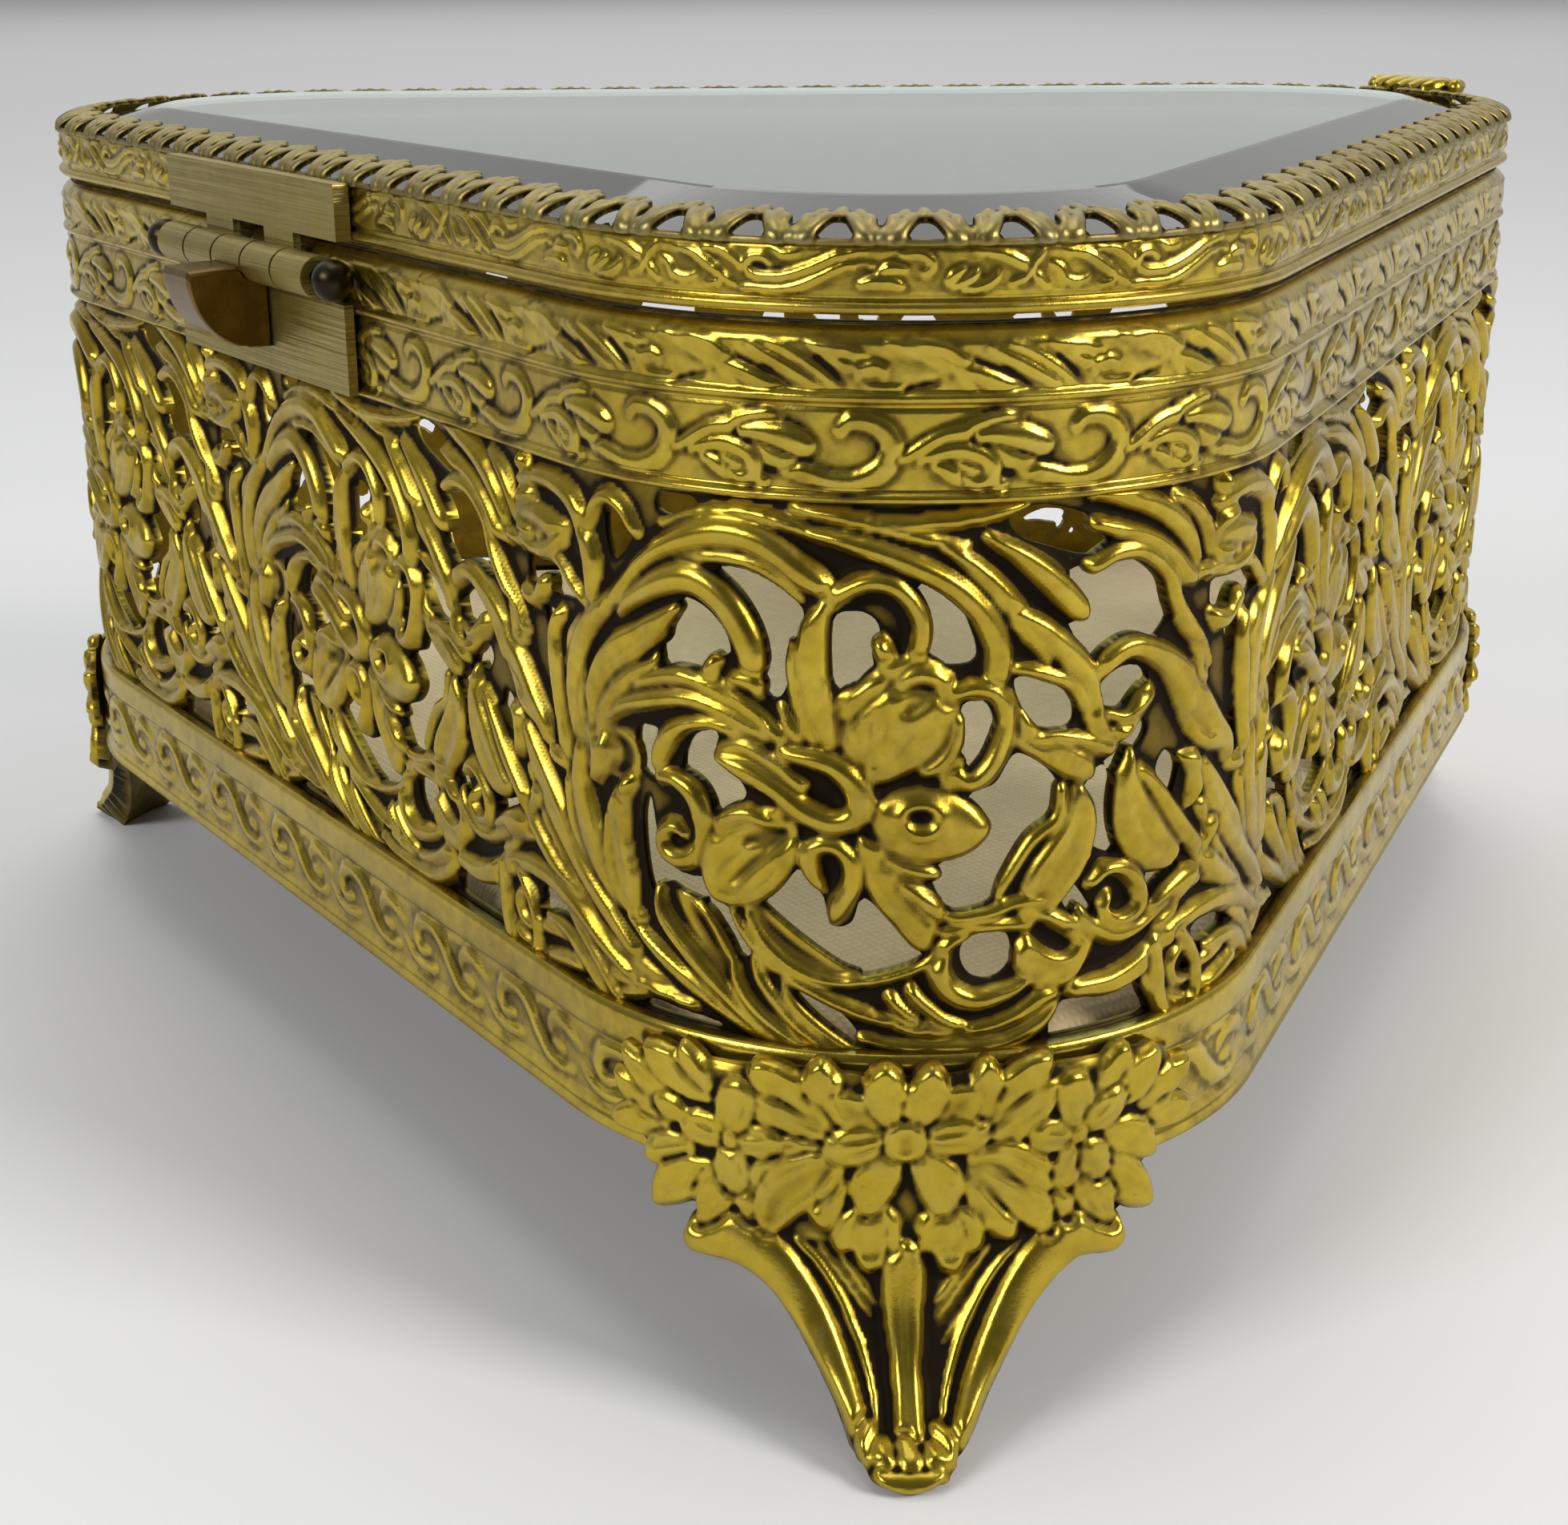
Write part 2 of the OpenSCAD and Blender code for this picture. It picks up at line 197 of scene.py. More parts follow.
def smooth_curve(pts, n=8, closed=False):
    p = np.array(pts, float)
    q = np.vstack([p[-1:], p, p[:2]]) if closed else np.vstack([2 * p[0] - p[1], p, 2 * p[-1] - p[-2]])
    out = []
    for i in range(1, len(q) - 2):
        t = np.linspace(0, 1, n, endpoint=False)[:, None]
        a, b, c, d = q[i - 1], q[i], q[i + 1], q[i + 2]
        out.append(0.5 * (2 * b + (c - a) * t + (2 * a - 5 * b + 4 * c - d) * t * t + (3 * b - a - 3 * c + d) * t ** 3))
    if not closed:
        out.append(q[-2][None])
    return np.vstack(out)


class Field:
    """A height field in which raised strokes are drawn one over another, each with a dark groove round it."""

    def __init__(self, u0, u1, z0, z1, h, wrap, floor=-0.55):
        self.nu = int(round((u1 - u0) / h)) + (0 if wrap else 1)
        self.nz = int(round((z1 - z0) / h)) + 1
        self.U = u0 + np.arange(self.nu) * (u1 - u0) / (self.nu if wrap else self.nu - 1)
        self.Z = np.linspace(z0, z1, self.nz)
        self.X, self.Y = np.meshgrid(self.U, self.Z)
        self.per = (u1 - u0) if wrap else None
        self.wrap = wrap
        self.H = np.full(self.X.shape, float(floor))
        self.S = np.full(self.X.shape, -9.0)
        self.holes = np.full(self.X.shape, -9.0)

    def _reach(self, p, r):
        lo, hi = p[:, :2].min(0) - r, p[:, :2].max(0) + r
        iu = np.where((self.U >= lo[0]) & (self.U <= hi[0]))[0]
        iz = np.where((self.Z >= lo[1]) & (self.Z <= hi[1]))[0]
        return np.ix_(iz, iu) if len(iu) and len(iz) else None

    def shifts(self):
        return (-self.per, 0.0, self.per) if self.wrap else (0.0,)

    def stroke(self, pts, top=0.9, kind="r", scale=1.0, base=-0.25, moat=0.28, gain=1.0, sharp=0.8, metal=True, trench=0.2):
        c = smooth_curve(pts)
        c[:, 2] = np.maximum(c[:, 2], 0.02) * scale
        for sh in self.shifts():
            p = c + [sh, 0, 0]
            sl = self._reach(p, p[:, 2].max() / 2 + 0.9)
            if sl is None:
                continue
            X, Y = self.X[sl], self.Y[sl]
            best = np.full(X.shape, 1e9)
            W = np.zeros_like(X)
            D = np.zeros_like(X)
            for a, b in zip(p[:-1], p[1:]):
                v = b[:2] - a[:2]
                t = np.clip(((X - a[0]) * v[0] + (Y - a[1]) * v[1]) / (v @ v + 1e-12), 0, 1)
                d = np.hypot(X - a[0] - t * v[0], Y - a[1] - t * v[1])
                w = (a[2] + t * (b[2] - a[2])) / 2
                m = d - w < best
                best = np.where(m, d - w, best)
                W = np.where(m, w, W)
                D = np.where(m, d, D)
            x = np.clip(D / np.maximum(W, 1e-3), 0, 3)
            inside = D < W
            cur = self.H[sl]
            prof = np.sqrt(np.clip(1 - x * x, 0, 1))
            if kind in ("pit", "add"):
                self.H[sl] = np.where(inside, cur + top * prof, cur)
                continue
            hh = base + gain * (top * 0.9 + 0.25) * prof ** sharp * np.minimum(1, 0.55 + 0.5 * W)
            if kind == "g":
                hh = hh - 0.30 * gain * np.minimum(W, 1) * np.exp(-(x / 0.22) ** 2)
            if kind == "h":
                hh = hh - 0.62 * gain * np.minimum(W / 1.2, 1) * np.clip(1 - (x / 0.72) ** 2, 0, 1)
            mo = np.clip((D - W) / moat, 0, 1)
            cut = np.minimum(cur, cur * mo + (1 - mo) * np.minimum(cur, base - trench))
            self.H[sl] = np.where(inside, np.maximum(hh, base - 0.05 - trench), cut)
            if metal:
                self.S[sl] = np.maximum(self.S[sl], W - D)

    def solid(self, outline):
        """metal over the whole of a closed outline"""
        keep, self.holes = self.holes, np.full(self.X.shape, -9.0)
        self.hole(outline)
        self.S = np.maximum(self.S, self.holes)
        self.holes = keep

    def soften(self, r=1):
        self.H = blur(self.H, r, self.wrap)

    def hole(self, outline):
        q = smooth_curve(outline, 5, closed=True)
        for sh in self.shifts():
            g = q + [sh, 0]
            sl = self._reach(g, 1.0)
            if sl is None:
                continue
            X, Y = self.X[sl], self.Y[sl]
            d = np.full(X.shape, 1e9)
            ins = np.zeros(X.shape, bool)
            for i in range(len(g)):
                a, b = g[i], g[(i + 1) % len(g)]
                v = b - a
                t = np.clip(((X - a[0]) * v[0] + (Y - a[1]) * v[1]) / (v @ v + 1e-12), 0, 1)
                d = np.minimum(d, np.hypot(X - a[0] - t * v[0], Y - a[1] - t * v[1]))
                ins ^= ((a[1] > Y) != (b[1] > Y)) & (X < (b[0] - a[0]) * (Y - a[1]) / (b[1] - a[1] + 1e-12) + a[0])
            self.holes[sl] = np.maximum(self.holes[sl], np.where(ins, d, -d))

    def cavity(self, h):
        """0 on open surfaces to 1 in the grooves"""
        r1 = max(1, int(round(0.35 / h)))
        r2 = max(2, int(round(0.9 / h)))
        c = 1.6 * (blur(self.H, r1, self.wrap) - self.H) + 0.9 * (blur(self.H, r2, self.wrap) - self.H)
        return c


def tiled(field, n, *arrays):
    U = field.U[0] + np.arange(field.nu * n) * field.per / field.nu
    return (U,) + tuple(np.tile(a, (1, n)) for a in arrays)


# scrollwork of one repeat, drawn one by one: (kind, height, [(along, height, width), ...]) in mm
SCROLLS = [
    ("g", 0.75, [(33.8, -30, 1.1), (31.5, -33.3, 1.3), (28.2, -36.9, 1.3), (24.6, -40.3, 1.2), (22.6, -42.5, 1), (18.4, -44.7, 0.7)]),  # bg_stem1
    ("g", 0.6, [(34.6, -32.2, 0.9), (32.6, -35.7, 1.1), (29.6, -38.6, 1.1), (25.9, -41.4, 1), (22.9, -43.1, 0.7)]),  # bg_stem2
    ("r", 0.65, [(34.6, -36.7, 0.8), (31.8, -38.5, 1.2), (28.4, -40.3, 1.2), (24.6, -42.1, 1), (19.6, -44.2, 0.7), (17.3, -45, 0.3)]),  # bg_fan1
    ("r", 0.6, [(34.6, -40, 0.8), (31.2, -40.3, 1.3), (27.3, -41.9, 1.3), (23.2, -43.3, 0.9), (18.4, -44.7, 0.6)]),  # bg_fan2
    ("r", 0.6, [(34.6, -44.2, 0.8), (31.2, -43.4, 1.3), (27.3, -43.1, 1.2), (23.2, -43.8, 0.9), (17.9, -44.8, 0.4)]),  # bg_fan3
    ("r", 0.65, [(34.6, -46.4, 0.8), (31.2, -45.6, 1.2), (26.8, -44.7, 1.1), (22.3, -44.3, 0.8), (17.3, -44.8, 0.4)]),  # bg_fan4
    ("r", 0.5, [(33.4, -47.2, 0.7), (29, -46.8, 0.9), (24.6, -45.8, 0.8), (21.2, -44.9, 0.5)]),  # bg_fan5
    ("g", 0.85, [(34.6, -37.4, 0.6), (36.8, -38.3, 0.9), (38.4, -40, 1.3), (39.3, -42.5, 1.5), (38.2, -45, 1.5), (35.9, -46.2, 1.3), (33.4, -46.4, 0.9)]),  # scrollC
    ("r", 0.6, [(34.6, -42.4, 0.5), (36.2, -42.1, 0.8), (37.2, -43.1, 0.9), (36.5, -44.4, 0.8), (34.8, -44.7, 0.5)]),  # scrollC_in
    ("g", 0.95, [(45.3, -9.6, 0.6), (43.2, -10.1, 1.1), (40.5, -11.1, 1.3), (38.2, -12.8, 1.3), (36.9, -14.7, 0.8), (36.6, -15.6, 0.3)]),  # top_leafA
    ("r", 0.95, [(45.3, -11.6, 0.8), (42.8, -12.4, 1.2), (40.1, -13.8, 1.4), (38, -15.6, 1.3), (36.6, -16.2, 0.9)]),  # top_leafB
    ("r", 0.8, [(38.9, -10.5, 0.4), (37.2, -11.5, 0.9), (35.8, -13.1, 1), (35.3, -14.8, 0.5)]),  # top_leafC
    ("r", 0.95, [(45.3, -14.2, 1), (43.6, -13.5, 1.1), (41.6, -13.8, 1), (39.5, -15.4, 0.9), (38.6, -17.3, 1), (37.6, -18.8, 1.1), (35.8, -20.8, 1), (34.7, -22.4, 0.5)]),  # top_hook
    ("r", 1, [(34.1, -10.3, 1), (33.6, -11.8, 1.7), (33.5, -13.5, 2.4), (33.6, -15, 2.2), (34.3, -16, 1)]),  # top_blob
    ("r", 0.7, [(32.3, -14.7, 0.8), (31.1, -15.8, 1.3), (29.7, -15.4, 0.9), (28.9, -14.2, 0.5)]),  # top_blob2
    ("r", 0.7, [(36.3, -15.8, 0.8), (34.3, -16.1, 1), (32.4, -16.3, 1), (29.7, -16.4, 0.8), (27.8, -17.7, 0.8), (25.9, -19, 0.6)]),  # top_link
    ("g", 0.95, [(45.3, -21.6, 1.1), (43.7, -20.3, 1.3), (42, -19.8, 1.3), (39.7, -20.8, 1.5), (37.8, -22.4, 2), (36.1, -24.6, 2.5), (34.3, -26.8, 2.5), (32.4, -28.1, 1.5), (31.6, -29.6, 0.9)]),  # mid_leafA
    ("pit", -0.5, [(36.8, -25.2, 0.5), (35.8, -26.2, 0.8), (34.7, -27.1, 0.5)]),  # mid_eye
    ("r", 0.7, [(36.6, -20.8, 0.5), (36, -21.6, 0.8), (35.8, -22.7, 0.8), (34.9, -23.2, 0.5)]),  # mid_curl
    ("r", 0.8, [(34.3, -19.2, 0.8), (33.5, -19.6, 1.3), (32.6, -19.5, 0.9), (31.7, -18.5, 1.2), (31.3, -18, 0.6)]),  # mid_knobs
    ("r", 0.9, [(45.1, -26.2, 0.7), (43.8, -26.2, 1.2), (42.9, -25.3, 1)]),  # lobesA
    ("r", 1, [(44.7, -24.8, 0.6), (43.1, -25.5, 1.1), (42, -24.6, 1.3), (40.7, -23.3, 1.3), (40.4, -23, 0.4)]),  # lobesB
    ("r", 0.75, [(30, -20.1, 0.8), (30.5, -21.5, 1.2), (30.1, -24.2, 1.7), (29.4, -27.3, 1.8), (29.3, -29.6, 1.2)]),  # tulip_l
    ("g", 0.8, [(26.6, -19.6, 0.8), (27.8, -21.5, 1.7), (27.9, -24.6, 2.3), (27.4, -27.7, 2.2), (26.6, -29.6, 1.2)]),  # tulip_c
    ("r", 0.8, [(22.8, -20.8, 0.9), (24.7, -23.1, 1.7), (25.5, -25.8, 2.1), (25.1, -28.5, 1.8), (25.9, -30.4, 0.9)]),  # tulip_r
    ("g", 1, [(41.9, -26.8, 0.6), (42.1, -28.8, 1.5), (41.4, -31.3, 2.8), (40.1, -33.2, 3.4), (38.6, -34.4, 2.3), (37.3, -34.2, 0.6)]),  # petal_big
    ("r", 0.95, [(41.1, -28.1, 0.5), (39.5, -29.8, 1), (37.8, -32.1, 1.3), (35.8, -34.3, 1.3), (33.2, -36.8, 1.4), (30.1, -39.1, 1.3), (26.6, -41.4, 1), (22.8, -43.8, 0.6)]),  # ridge8
    ("r", 0.9, [(36.8, -28.4, 0.6), (35.8, -28.8, 1.2), (35.6, -30.4, 1.3), (36.2, -31.8, 0.5)]),  # knob9
    ("g", 0.8, [(34.7, -29.3, 1), (33.2, -31.5, 1.8), (31.4, -33.8, 2.2), (28.9, -36.2, 2.1), (25.9, -38.8, 1.6), (22.4, -41.9, 1)]),  # ridge9
    ("r", 0.8, [(34.3, -33.8, 0.5), (33.4, -33.9, 1.3), (34.3, -35, 1)]),  # knob10
    ("r", 0.8, [(31.4, -30.1, 0.6), (30.4, -30.2, 1.3), (29.6, -30.6, 0.8)]),  # knob11
    ("r", 0.7, [(29.3, -31.6, 0.8), (28.5, -34.2, 1.3), (26.6, -36.5, 1.2), (24.3, -38.5, 0.7)]),  # ridge11
    ("r", 1, [(40.5, -38.9, 0.5), (38.6, -37.9, 1.7), (36.6, -37, 1.9), (35.2, -36.6, 0.8)]),  # leaf12
    ("g", 0.95, [(45.5, -42.7, 1.2), (42.8, -42.8, 1.5), (40.5, -42.1, 1.6), (38.2, -40.8, 1.5), (35.5, -39.8, 1.3), (32.4, -39.7, 1.3), (29.3, -40.5, 1.3), (25.9, -42.1, 1.1), (22.8, -43.8, 0.8)]),  # scroll12
    ("r", 0.7, [(29.7, -41.5, 0.5), (27.8, -42.5, 1.1), (25.9, -44.2, 1.2), (23.9, -46.2, 0.8)]),  # scroll12b
    ("r", 0.65, [(33.2, -42.9, 0.4), (30.5, -43, 1), (27.8, -44.2, 1.3), (25.1, -46.5, 0.9)]),  # scroll12c
    ("r", 0.95, [(39.1, -40.6, 0.8), (38.7, -42.7, 1.2), (38.5, -44.6, 1.3), (37.6, -46.5, 1.3), (35.8, -47, 1.2), (34.4, -45.9, 1), (34.4, -43.8, 0.9), (35.4, -41.9, 0.9), (36.6, -40.8, 0.8)]),  # ring13
    ("g", 0.7, [(26.8, -29.7, 0.8), (27.8, -27.5, 1.1), (28.2, -25, 1.3), (27.7, -22.5, 1.4), (26.5, -20.3, 1.3), (24.8, -18.6, 1.1), (23.2, -17.2, 0.8)]),  # wr_outerL
    ("g", 0.75, [(25.9, -26.4, 0.8), (25.7, -24.4, 1.4), (24.6, -22.5, 1.8), (22.9, -21, 2.1), (21.2, -19.9, 1.8), (19.6, -18.6, 1.3), (18.2, -17.4, 0.6)]),  # wr_leafL1
    ("r", 0.6, [(25.5, -27.5, 0.4), (24.8, -25.6, 0.9), (23.4, -23.9, 1.2), (21.8, -22.6, 1.2), (20.1, -21.4, 0.7), (19.7, -20.6, 0.2)]),  # wr_leafL2
    ("r", 0.6, [(27.6, -28.9, 1.1), (27.7, -31.4, 1.8), (26.9, -33.9, 2.2), (25.4, -36.4, 2.1), (23.4, -38.3, 1.6), (21.8, -39.7, 0.8)]),  # wr_bandL
    ("h", -0.15, [(24, -27, 0.8), (22.9, -27.8, 1.8), (22.9, -28.9, 1.8), (24, -29.7, 0.8)]),  # wr_dark
    ("h", 0.85, [(22.6, -29.9, 0.6), (23.4, -31.4, 1.3), (23.9, -33.3, 1.9), (23.7, -35.3, 2.1), (23, -37.2, 1.7), (22.3, -39.1, 0.5)]),  # wr_leafL3
    ("r", 0.95, [(22.6, -30.1, 0.8), (22.9, -30.6, 0.9)]),  # wr_leafL3k
    ("r", 0.8, [(24.8, -32.8, 0.4), (24.8, -35, 0.6), (24.1, -37.5, 0.6), (22.6, -39.4, 0.4)]),  # wr_rimL3
    ("r", 1, [(24.1, -18.1, 0.4), (22.1, -16.2, 0.9), (19.6, -14.2, 1.4), (17.1, -12.8, 1.7), (14.6, -12.1, 1.7), (12.1, -12.5, 1.7), (10.1, -13.8, 1.7), (8.3, -14.9, 1.4), (6.6, -16, 0.4)]),  # wr_top1
    ("r", 0.85, [(23.4, -17.9, 0.3), (21.2, -16.2, 0.6), (18.7, -14.7, 0.8), (15.9, -13.8, 0.8), (13.2, -13.8, 0.8), (11.2, -14.6, 0.7), (9.4, -16.1, 0.3)]),  # wr_top2
    ("r", 0.6, [(19.6, -12.2, 0.2), (16.8, -11.1, 0.4), (13.4, -10.7, 0.6), (10.1, -11.4, 0.7), (8.2, -12.2, 0.4)]),  # wr_topthin
    ("r", 0.6, [(10.1, -10.3, 0.3), (7.3, -10.7, 0.7), (4.6, -11.2, 0.8), (1.8, -12, 0.7), (-0.7, -12.5, 0.4)]),  # top_strand1
    ("r", 0.55, [(5.1, -10.8, 0.3), (1.8, -11, 0.7), (-1.8, -10.6, 0.7), (-4.3, -10.1, 0.3)]),  # top_strand2
    ("g", 0.8, [(34.6, -11.7, 0.7), (32.1, -11.2, 1.1), (29.6, -11.3, 1.2), (27.4, -12.2, 1.3), (26.3, -13.9, 1.3), (25.7, -15.8, 1.3), (25.8, -17.9, 0.9)]),  # tl_scroll
    ("r", 0.6, [(34, -14, 0.8), (32.1, -13.8, 1.4), (30.1, -14.3, 1.4), (28.9, -13.9, 0.3)]),  # tl_leaf
    ("r", 0.75, [(34.6, -15.8, 0.7), (32.6, -16.2, 0.9), (30.7, -15.8, 1.1), (29.2, -14.5, 0.4)]),  # tl_leaf2
    ("r", 0.75, [(25.9, -13.3, 0.6), (25.3, -11.9, 0.8), (24, -11.1, 0.9), (22.6, -11.6, 0.8), (21.7, -12.8, 0.6), (21.3, -13.3, 0.2)]),  # tl_hook
    ("r", 1, [(9.3, -11.7, 0.3), (6.2, -12.3, 1), (3.2, -13.3, 1.3), (0.4, -14.7, 1.4), (-1.7, -16.7, 1.4), (-2.8, -19.1, 1.4), (-2.7, -20.8, 1.3), (-1.6, -21.8, 0.9), (0.4, -21.7, 0.4)]),  # wr_R1
    ("g", 0.85, [(0.9, -12.5, 0.3), (-1, -13.6, 0.9), (-3, -15.6, 1.2), (-4.6, -17.8, 1.2), (-5.9, -19.4, 0.7), (-6.3, -20.3, 0.2)]),  # wr_R2
    ("g", 1, [(-2, -11.9, 0.4), (-4.3, -13.3, 1.1), (-6.3, -15, 1.4), (-7.9, -16.7, 1.4), (-8.6, -17.5, 0.4)]),  # wr_R3
    ("r", 0.9, [(-3.5, -16.7, 0.4), (-5.2, -17.5, 1), (-6.8, -18.9, 1.4), (-8.3, -20.6, 1.6), (-9.2, -22.8, 1.3), (-9.9, -25, 1.2), (-10.8, -26.4, 1.1)]),  # wr_R4
    ("r", 0.7, [(-3.8, -20.3, 0.4), (-5.7, -20.8, 0.8), (-7.7, -21.7, 0.8), (-8.8, -23.3, 0.7)]),  # wr_R5
    ("r", 0.9, [(-10.4, -23.9, 0.4), (-11.8, -24.4, 0.8), (-12.9, -23.9, 0.9), (-14.2, -23.1, 0.4)]),  # wr_R6
    ("h", 0.9, [(-3.6, -22, 0.7), (-3.9, -23.5, 1.3), (-5.2, -25.1, 1.4), (-7.1, -26.4, 1.6), (-8.8, -27.4, 1.4), (-9.4, -28.1, 0.4)]),  # wr_R7
    ("r", 0.85, [(-4.9, -25, 0.3), (-7.1, -25, 0.6), (-9.1, -25.6, 0.8), (-10.7, -26.4, 0.9)]),  # wr_R8
    ("r", 0.95, [(-3.7, -22.5, 0.8), (-3.6, -24.6, 1), (-2.8, -26.4, 1.2), (-1.5, -27.6, 1.2), (0.1, -27.5, 0.9), (0.4, -26.8, 0.7), (-0.4, -26.3, 0.9)]),  # wr_hook
    ("h", 0.9, [(-8.6, -28.9, 0.8), (-8.8, -30.6, 1.9), (-8.1, -32.8, 2.8), (-6.8, -34.7, 2.9), (-5.9, -36.4, 1.9), (-4.9, -37.7, 0.6)]),  # wr_leafR
    ("r", 0.6, [(-7.4, -28.6, 0.6), (-7.1, -30.6, 0.7), (-5.4, -31.9, 0.8), (-3.8, -34.4, 0.7), (-3.2, -35.6, 0.4)]),  # wr_leafRe
    ("r", 0.8, [(-6.2, -36.1, 0.6), (-4.3, -36.1, 0.7), (-2.4, -36.7, 0.8), (-0.4, -36.8, 0.6), (0.7, -36.4, 0.3)]),  # wr_thinR
    ("r", 0.7, [(0.7, -37.8, 0.4), (-1.6, -37.6, 0.7), (-3.8, -37.5, 0.7), (-5.4, -37.8, 0.6)]),  # wr_botR
    ("r", 1.0, [(-9.8, -35.5, 0.65), (-10.8, -34.6, 0.93), (-12.3, -34.9, 1.02), (-13.6, -36.3, 1.11), (-13.6, -37.9, 1.11), (-12.0, -38.5, 0.93), (-10.7, -37.5, 0.74), (-11.2, -36.6, 0.56)]),
    ("r", 0.9, [(-6.4, -37.1, 0.65), (-7.9, -37.9, 1.11), (-9.4, -39.4, 1.2), (-8.7, -40.8, 1.3), (-6.8, -40.9, 1.02)]),
    ("r", 0.8, [(-8.9, -37.0, 0.46), (-9.9, -38.4, 0.93), (-11.7, -39.5, 1.02), (-13.9, -39.3, 0.83), (-16.5, -38.1, 0.46)]),
    ("h", 1, [(-5.2, -38.7, 0.4), (-5.4, -40, 1.7), (-6.6, -41.1, 2.2), (-8.2, -41, 1.7), (-9.2, -39.7, 0.8), (-8.2, -38.6, 0.3)]),  # lo_blob
    ("r", 1, [(-1.4, -38.1, 0.3), (0.1, -38.7, 0.8), (0.6, -40.2, 1.3), (-0.1, -41.8, 1.4), (-1.8, -42.6, 1.4), (-3.8, -42.2, 1.2), (-5.6, -41.6, 0.4)]),  # lo_C
    ("g", 0.85, [(5.9, -43.6, 0.3), (3.2, -44.2, 0.9), (0.4, -44.7, 1.2), (-2.1, -44.9, 1.3), (-4.6, -44.2, 1.5), (-6.6, -43.2, 1.7), (-7.4, -43.6, 0.8)]),  # lo_leafA
    ("r", 0.8, [(5.7, -45.3, 0.4), (2.9, -45.8, 0.8), (-0.4, -45.9, 1.1), (-3.8, -45.8, 1.3), (-6.3, -44.7, 1.1), (-7.4, -43.6, 0.6)]),  # lo_leafB
    ("r", 0.85, [(3.6, -42.3, 0.6), (3.2, -42.9, 0.8), (2.1, -43.8, 0.7)]),  # lo_knobA
    ("r", 0.95, [(2.3, -41.8, 0.7), (1.7, -42.6, 0.9), (0.4, -43.7, 0.8), (-1, -44.4, 0.6)]),  # lo_knobB
    ("h", -0.1, [(12.9, -36.4, 0.6), (11.8, -37.8, 1.2), (9.8, -39.4, 1.4), (7.3, -40.6, 0.9), (5.7, -40.8, 0.3)]),  # lo_hollow
    ("r", 0.85, [(13.3, -36.4, 0.6), (12.4, -38.6, 0.7), (10.7, -40.3, 0.7), (8.2, -41.3, 0.6), (5.1, -41.2, 0.6), (2.1, -40.3, 0.6), (0.7, -39.2, 0.4)]),  # lo_rim1
    ("r", 0.8, [(14.6, -36.6, 0.4), (13.2, -38.9, 0.7), (11.2, -40.9, 0.7), (8.7, -42.2, 0.8), (5.9, -43.4, 0.8), (3.7, -44.2, 0.4)]),  # lo_rim2
    ("g", 0.85, [(22.8, -39.6, 0.4), (20.1, -41.4, 1), (17.1, -43.1, 1.2), (13.4, -44.9, 1.2), (10.1, -46.3, 1.1), (7.1, -47, 0.8)]),  # lo_fan1
    ("r", 0.95, [(20.1, -36.7, 0.4), (19.6, -38.6, 1), (17.6, -40.6, 1.2), (15.1, -42.8, 1.2), (12.1, -45, 1.1), (9.3, -46.5, 0.6)]),  # lo_fan2
    ("h", -0.1, [(18.2, -37.1, 0.6), (16.8, -38.3, 1.7), (15.1, -40.3, 1.6), (14.3, -41.9, 0.6)]),  # lo_fan2h
    ("r", 0.6, [(17.3, -37.2, 0.3), (15.9, -38.1, 0.6), (14.6, -40.3, 0.6), (14, -41.7, 0.3)]),  # lo_fan2r
    ("r", 0.95, [(14.1, -40.4, 0.3), (13.9, -41.9, 0.8), (12.8, -43.6, 1), (10.7, -45.3, 0.9), (8.4, -46.7, 0.6)]),  # lo_fan3
    ("r", 0.95, [(12.7, -40.2, 0.4), (12.2, -41.7, 0.9), (10.7, -43.6, 1), (8.7, -45.4, 0.9), (6.5, -46.8, 0.5)]),  # lo_fan4
    ("r", 0.6, [(10.9, -41.4, 0.3), (10.1, -43.1, 0.7), (8.4, -44.7, 0.7), (5.9, -46.3, 0.5), (4, -47, 0.3)]),  # lo_fan5
    ("r", 1.05, [(8.3, -17.0, 0.75), (7.1, -15.5, 1.02), (5.2, -14.6, 1.16), (3.5, -15.0, 1.2), (2.2, -16.6, 1.11), (2.0, -18.4, 1.02), (2.8, -19.9, 1.02), (4.0, -19.6, 1.02), (4.6, -18.6, 0.93)]),
    ("pit", -0.30, [(6.9, -16.3, 0.3), (5.0, -15.5, 0.34), (3.3, -16.2, 0.34), (2.8, -17.9, 0.3)]),
    ("r", 1, [(23.2, -18.7, 0.3), (21.2, -17.1, 1.1), (19, -15.8, 1.6), (16.8, -15.3, 1.8), (14.8, -16.3, 1.8), (13.4, -18.1, 1.8), (12.7, -20, 1.6), (12.9, -21.4, 1.1)]),  # cane
    ("r", 0.95, [(15.3, -20.4, 0.8), (15.8, -21.7, 1.2), (14.9, -22.6, 1.4), (13.2, -23.6, 1.3), (11.5, -24.7, 1.2), (10.4, -25.4, 0.7)]),  # cane_bud
    ("r", 0.8, [(14, -21.4, 0.8), (12.6, -21.6, 1.1), (12.3, -22.2, 0.7)]),  # cane_calyx
    ("r", 0.85, [(21.8, -23.3, 0.3), (20.1, -22.4, 0.8), (17.9, -21.8, 1.1), (15.9, -22.2, 1), (14.3, -23.3, 0.9), (12.3, -24.4, 0.6)]),  # fanD1
    ("r", 0.95, [(24.4, -26.1, 0.3), (22.6, -24.7, 0.9), (20.1, -23.8, 1.1), (17.3, -23.2, 1.1), (15.1, -23.6, 1), (12.9, -24.7, 0.9), (11.5, -25.3, 0.4)]),  # fanD2
    ("r", 0.95, [(19.7, -29.2, 0.6), (19.6, -27.5, 1.2), (18.7, -25.8, 1.2), (17.3, -24.9, 0.9), (15.4, -24.6, 0.8), (13.4, -25.2, 0.7), (11.8, -25.7, 0.4)]),  # stemD3
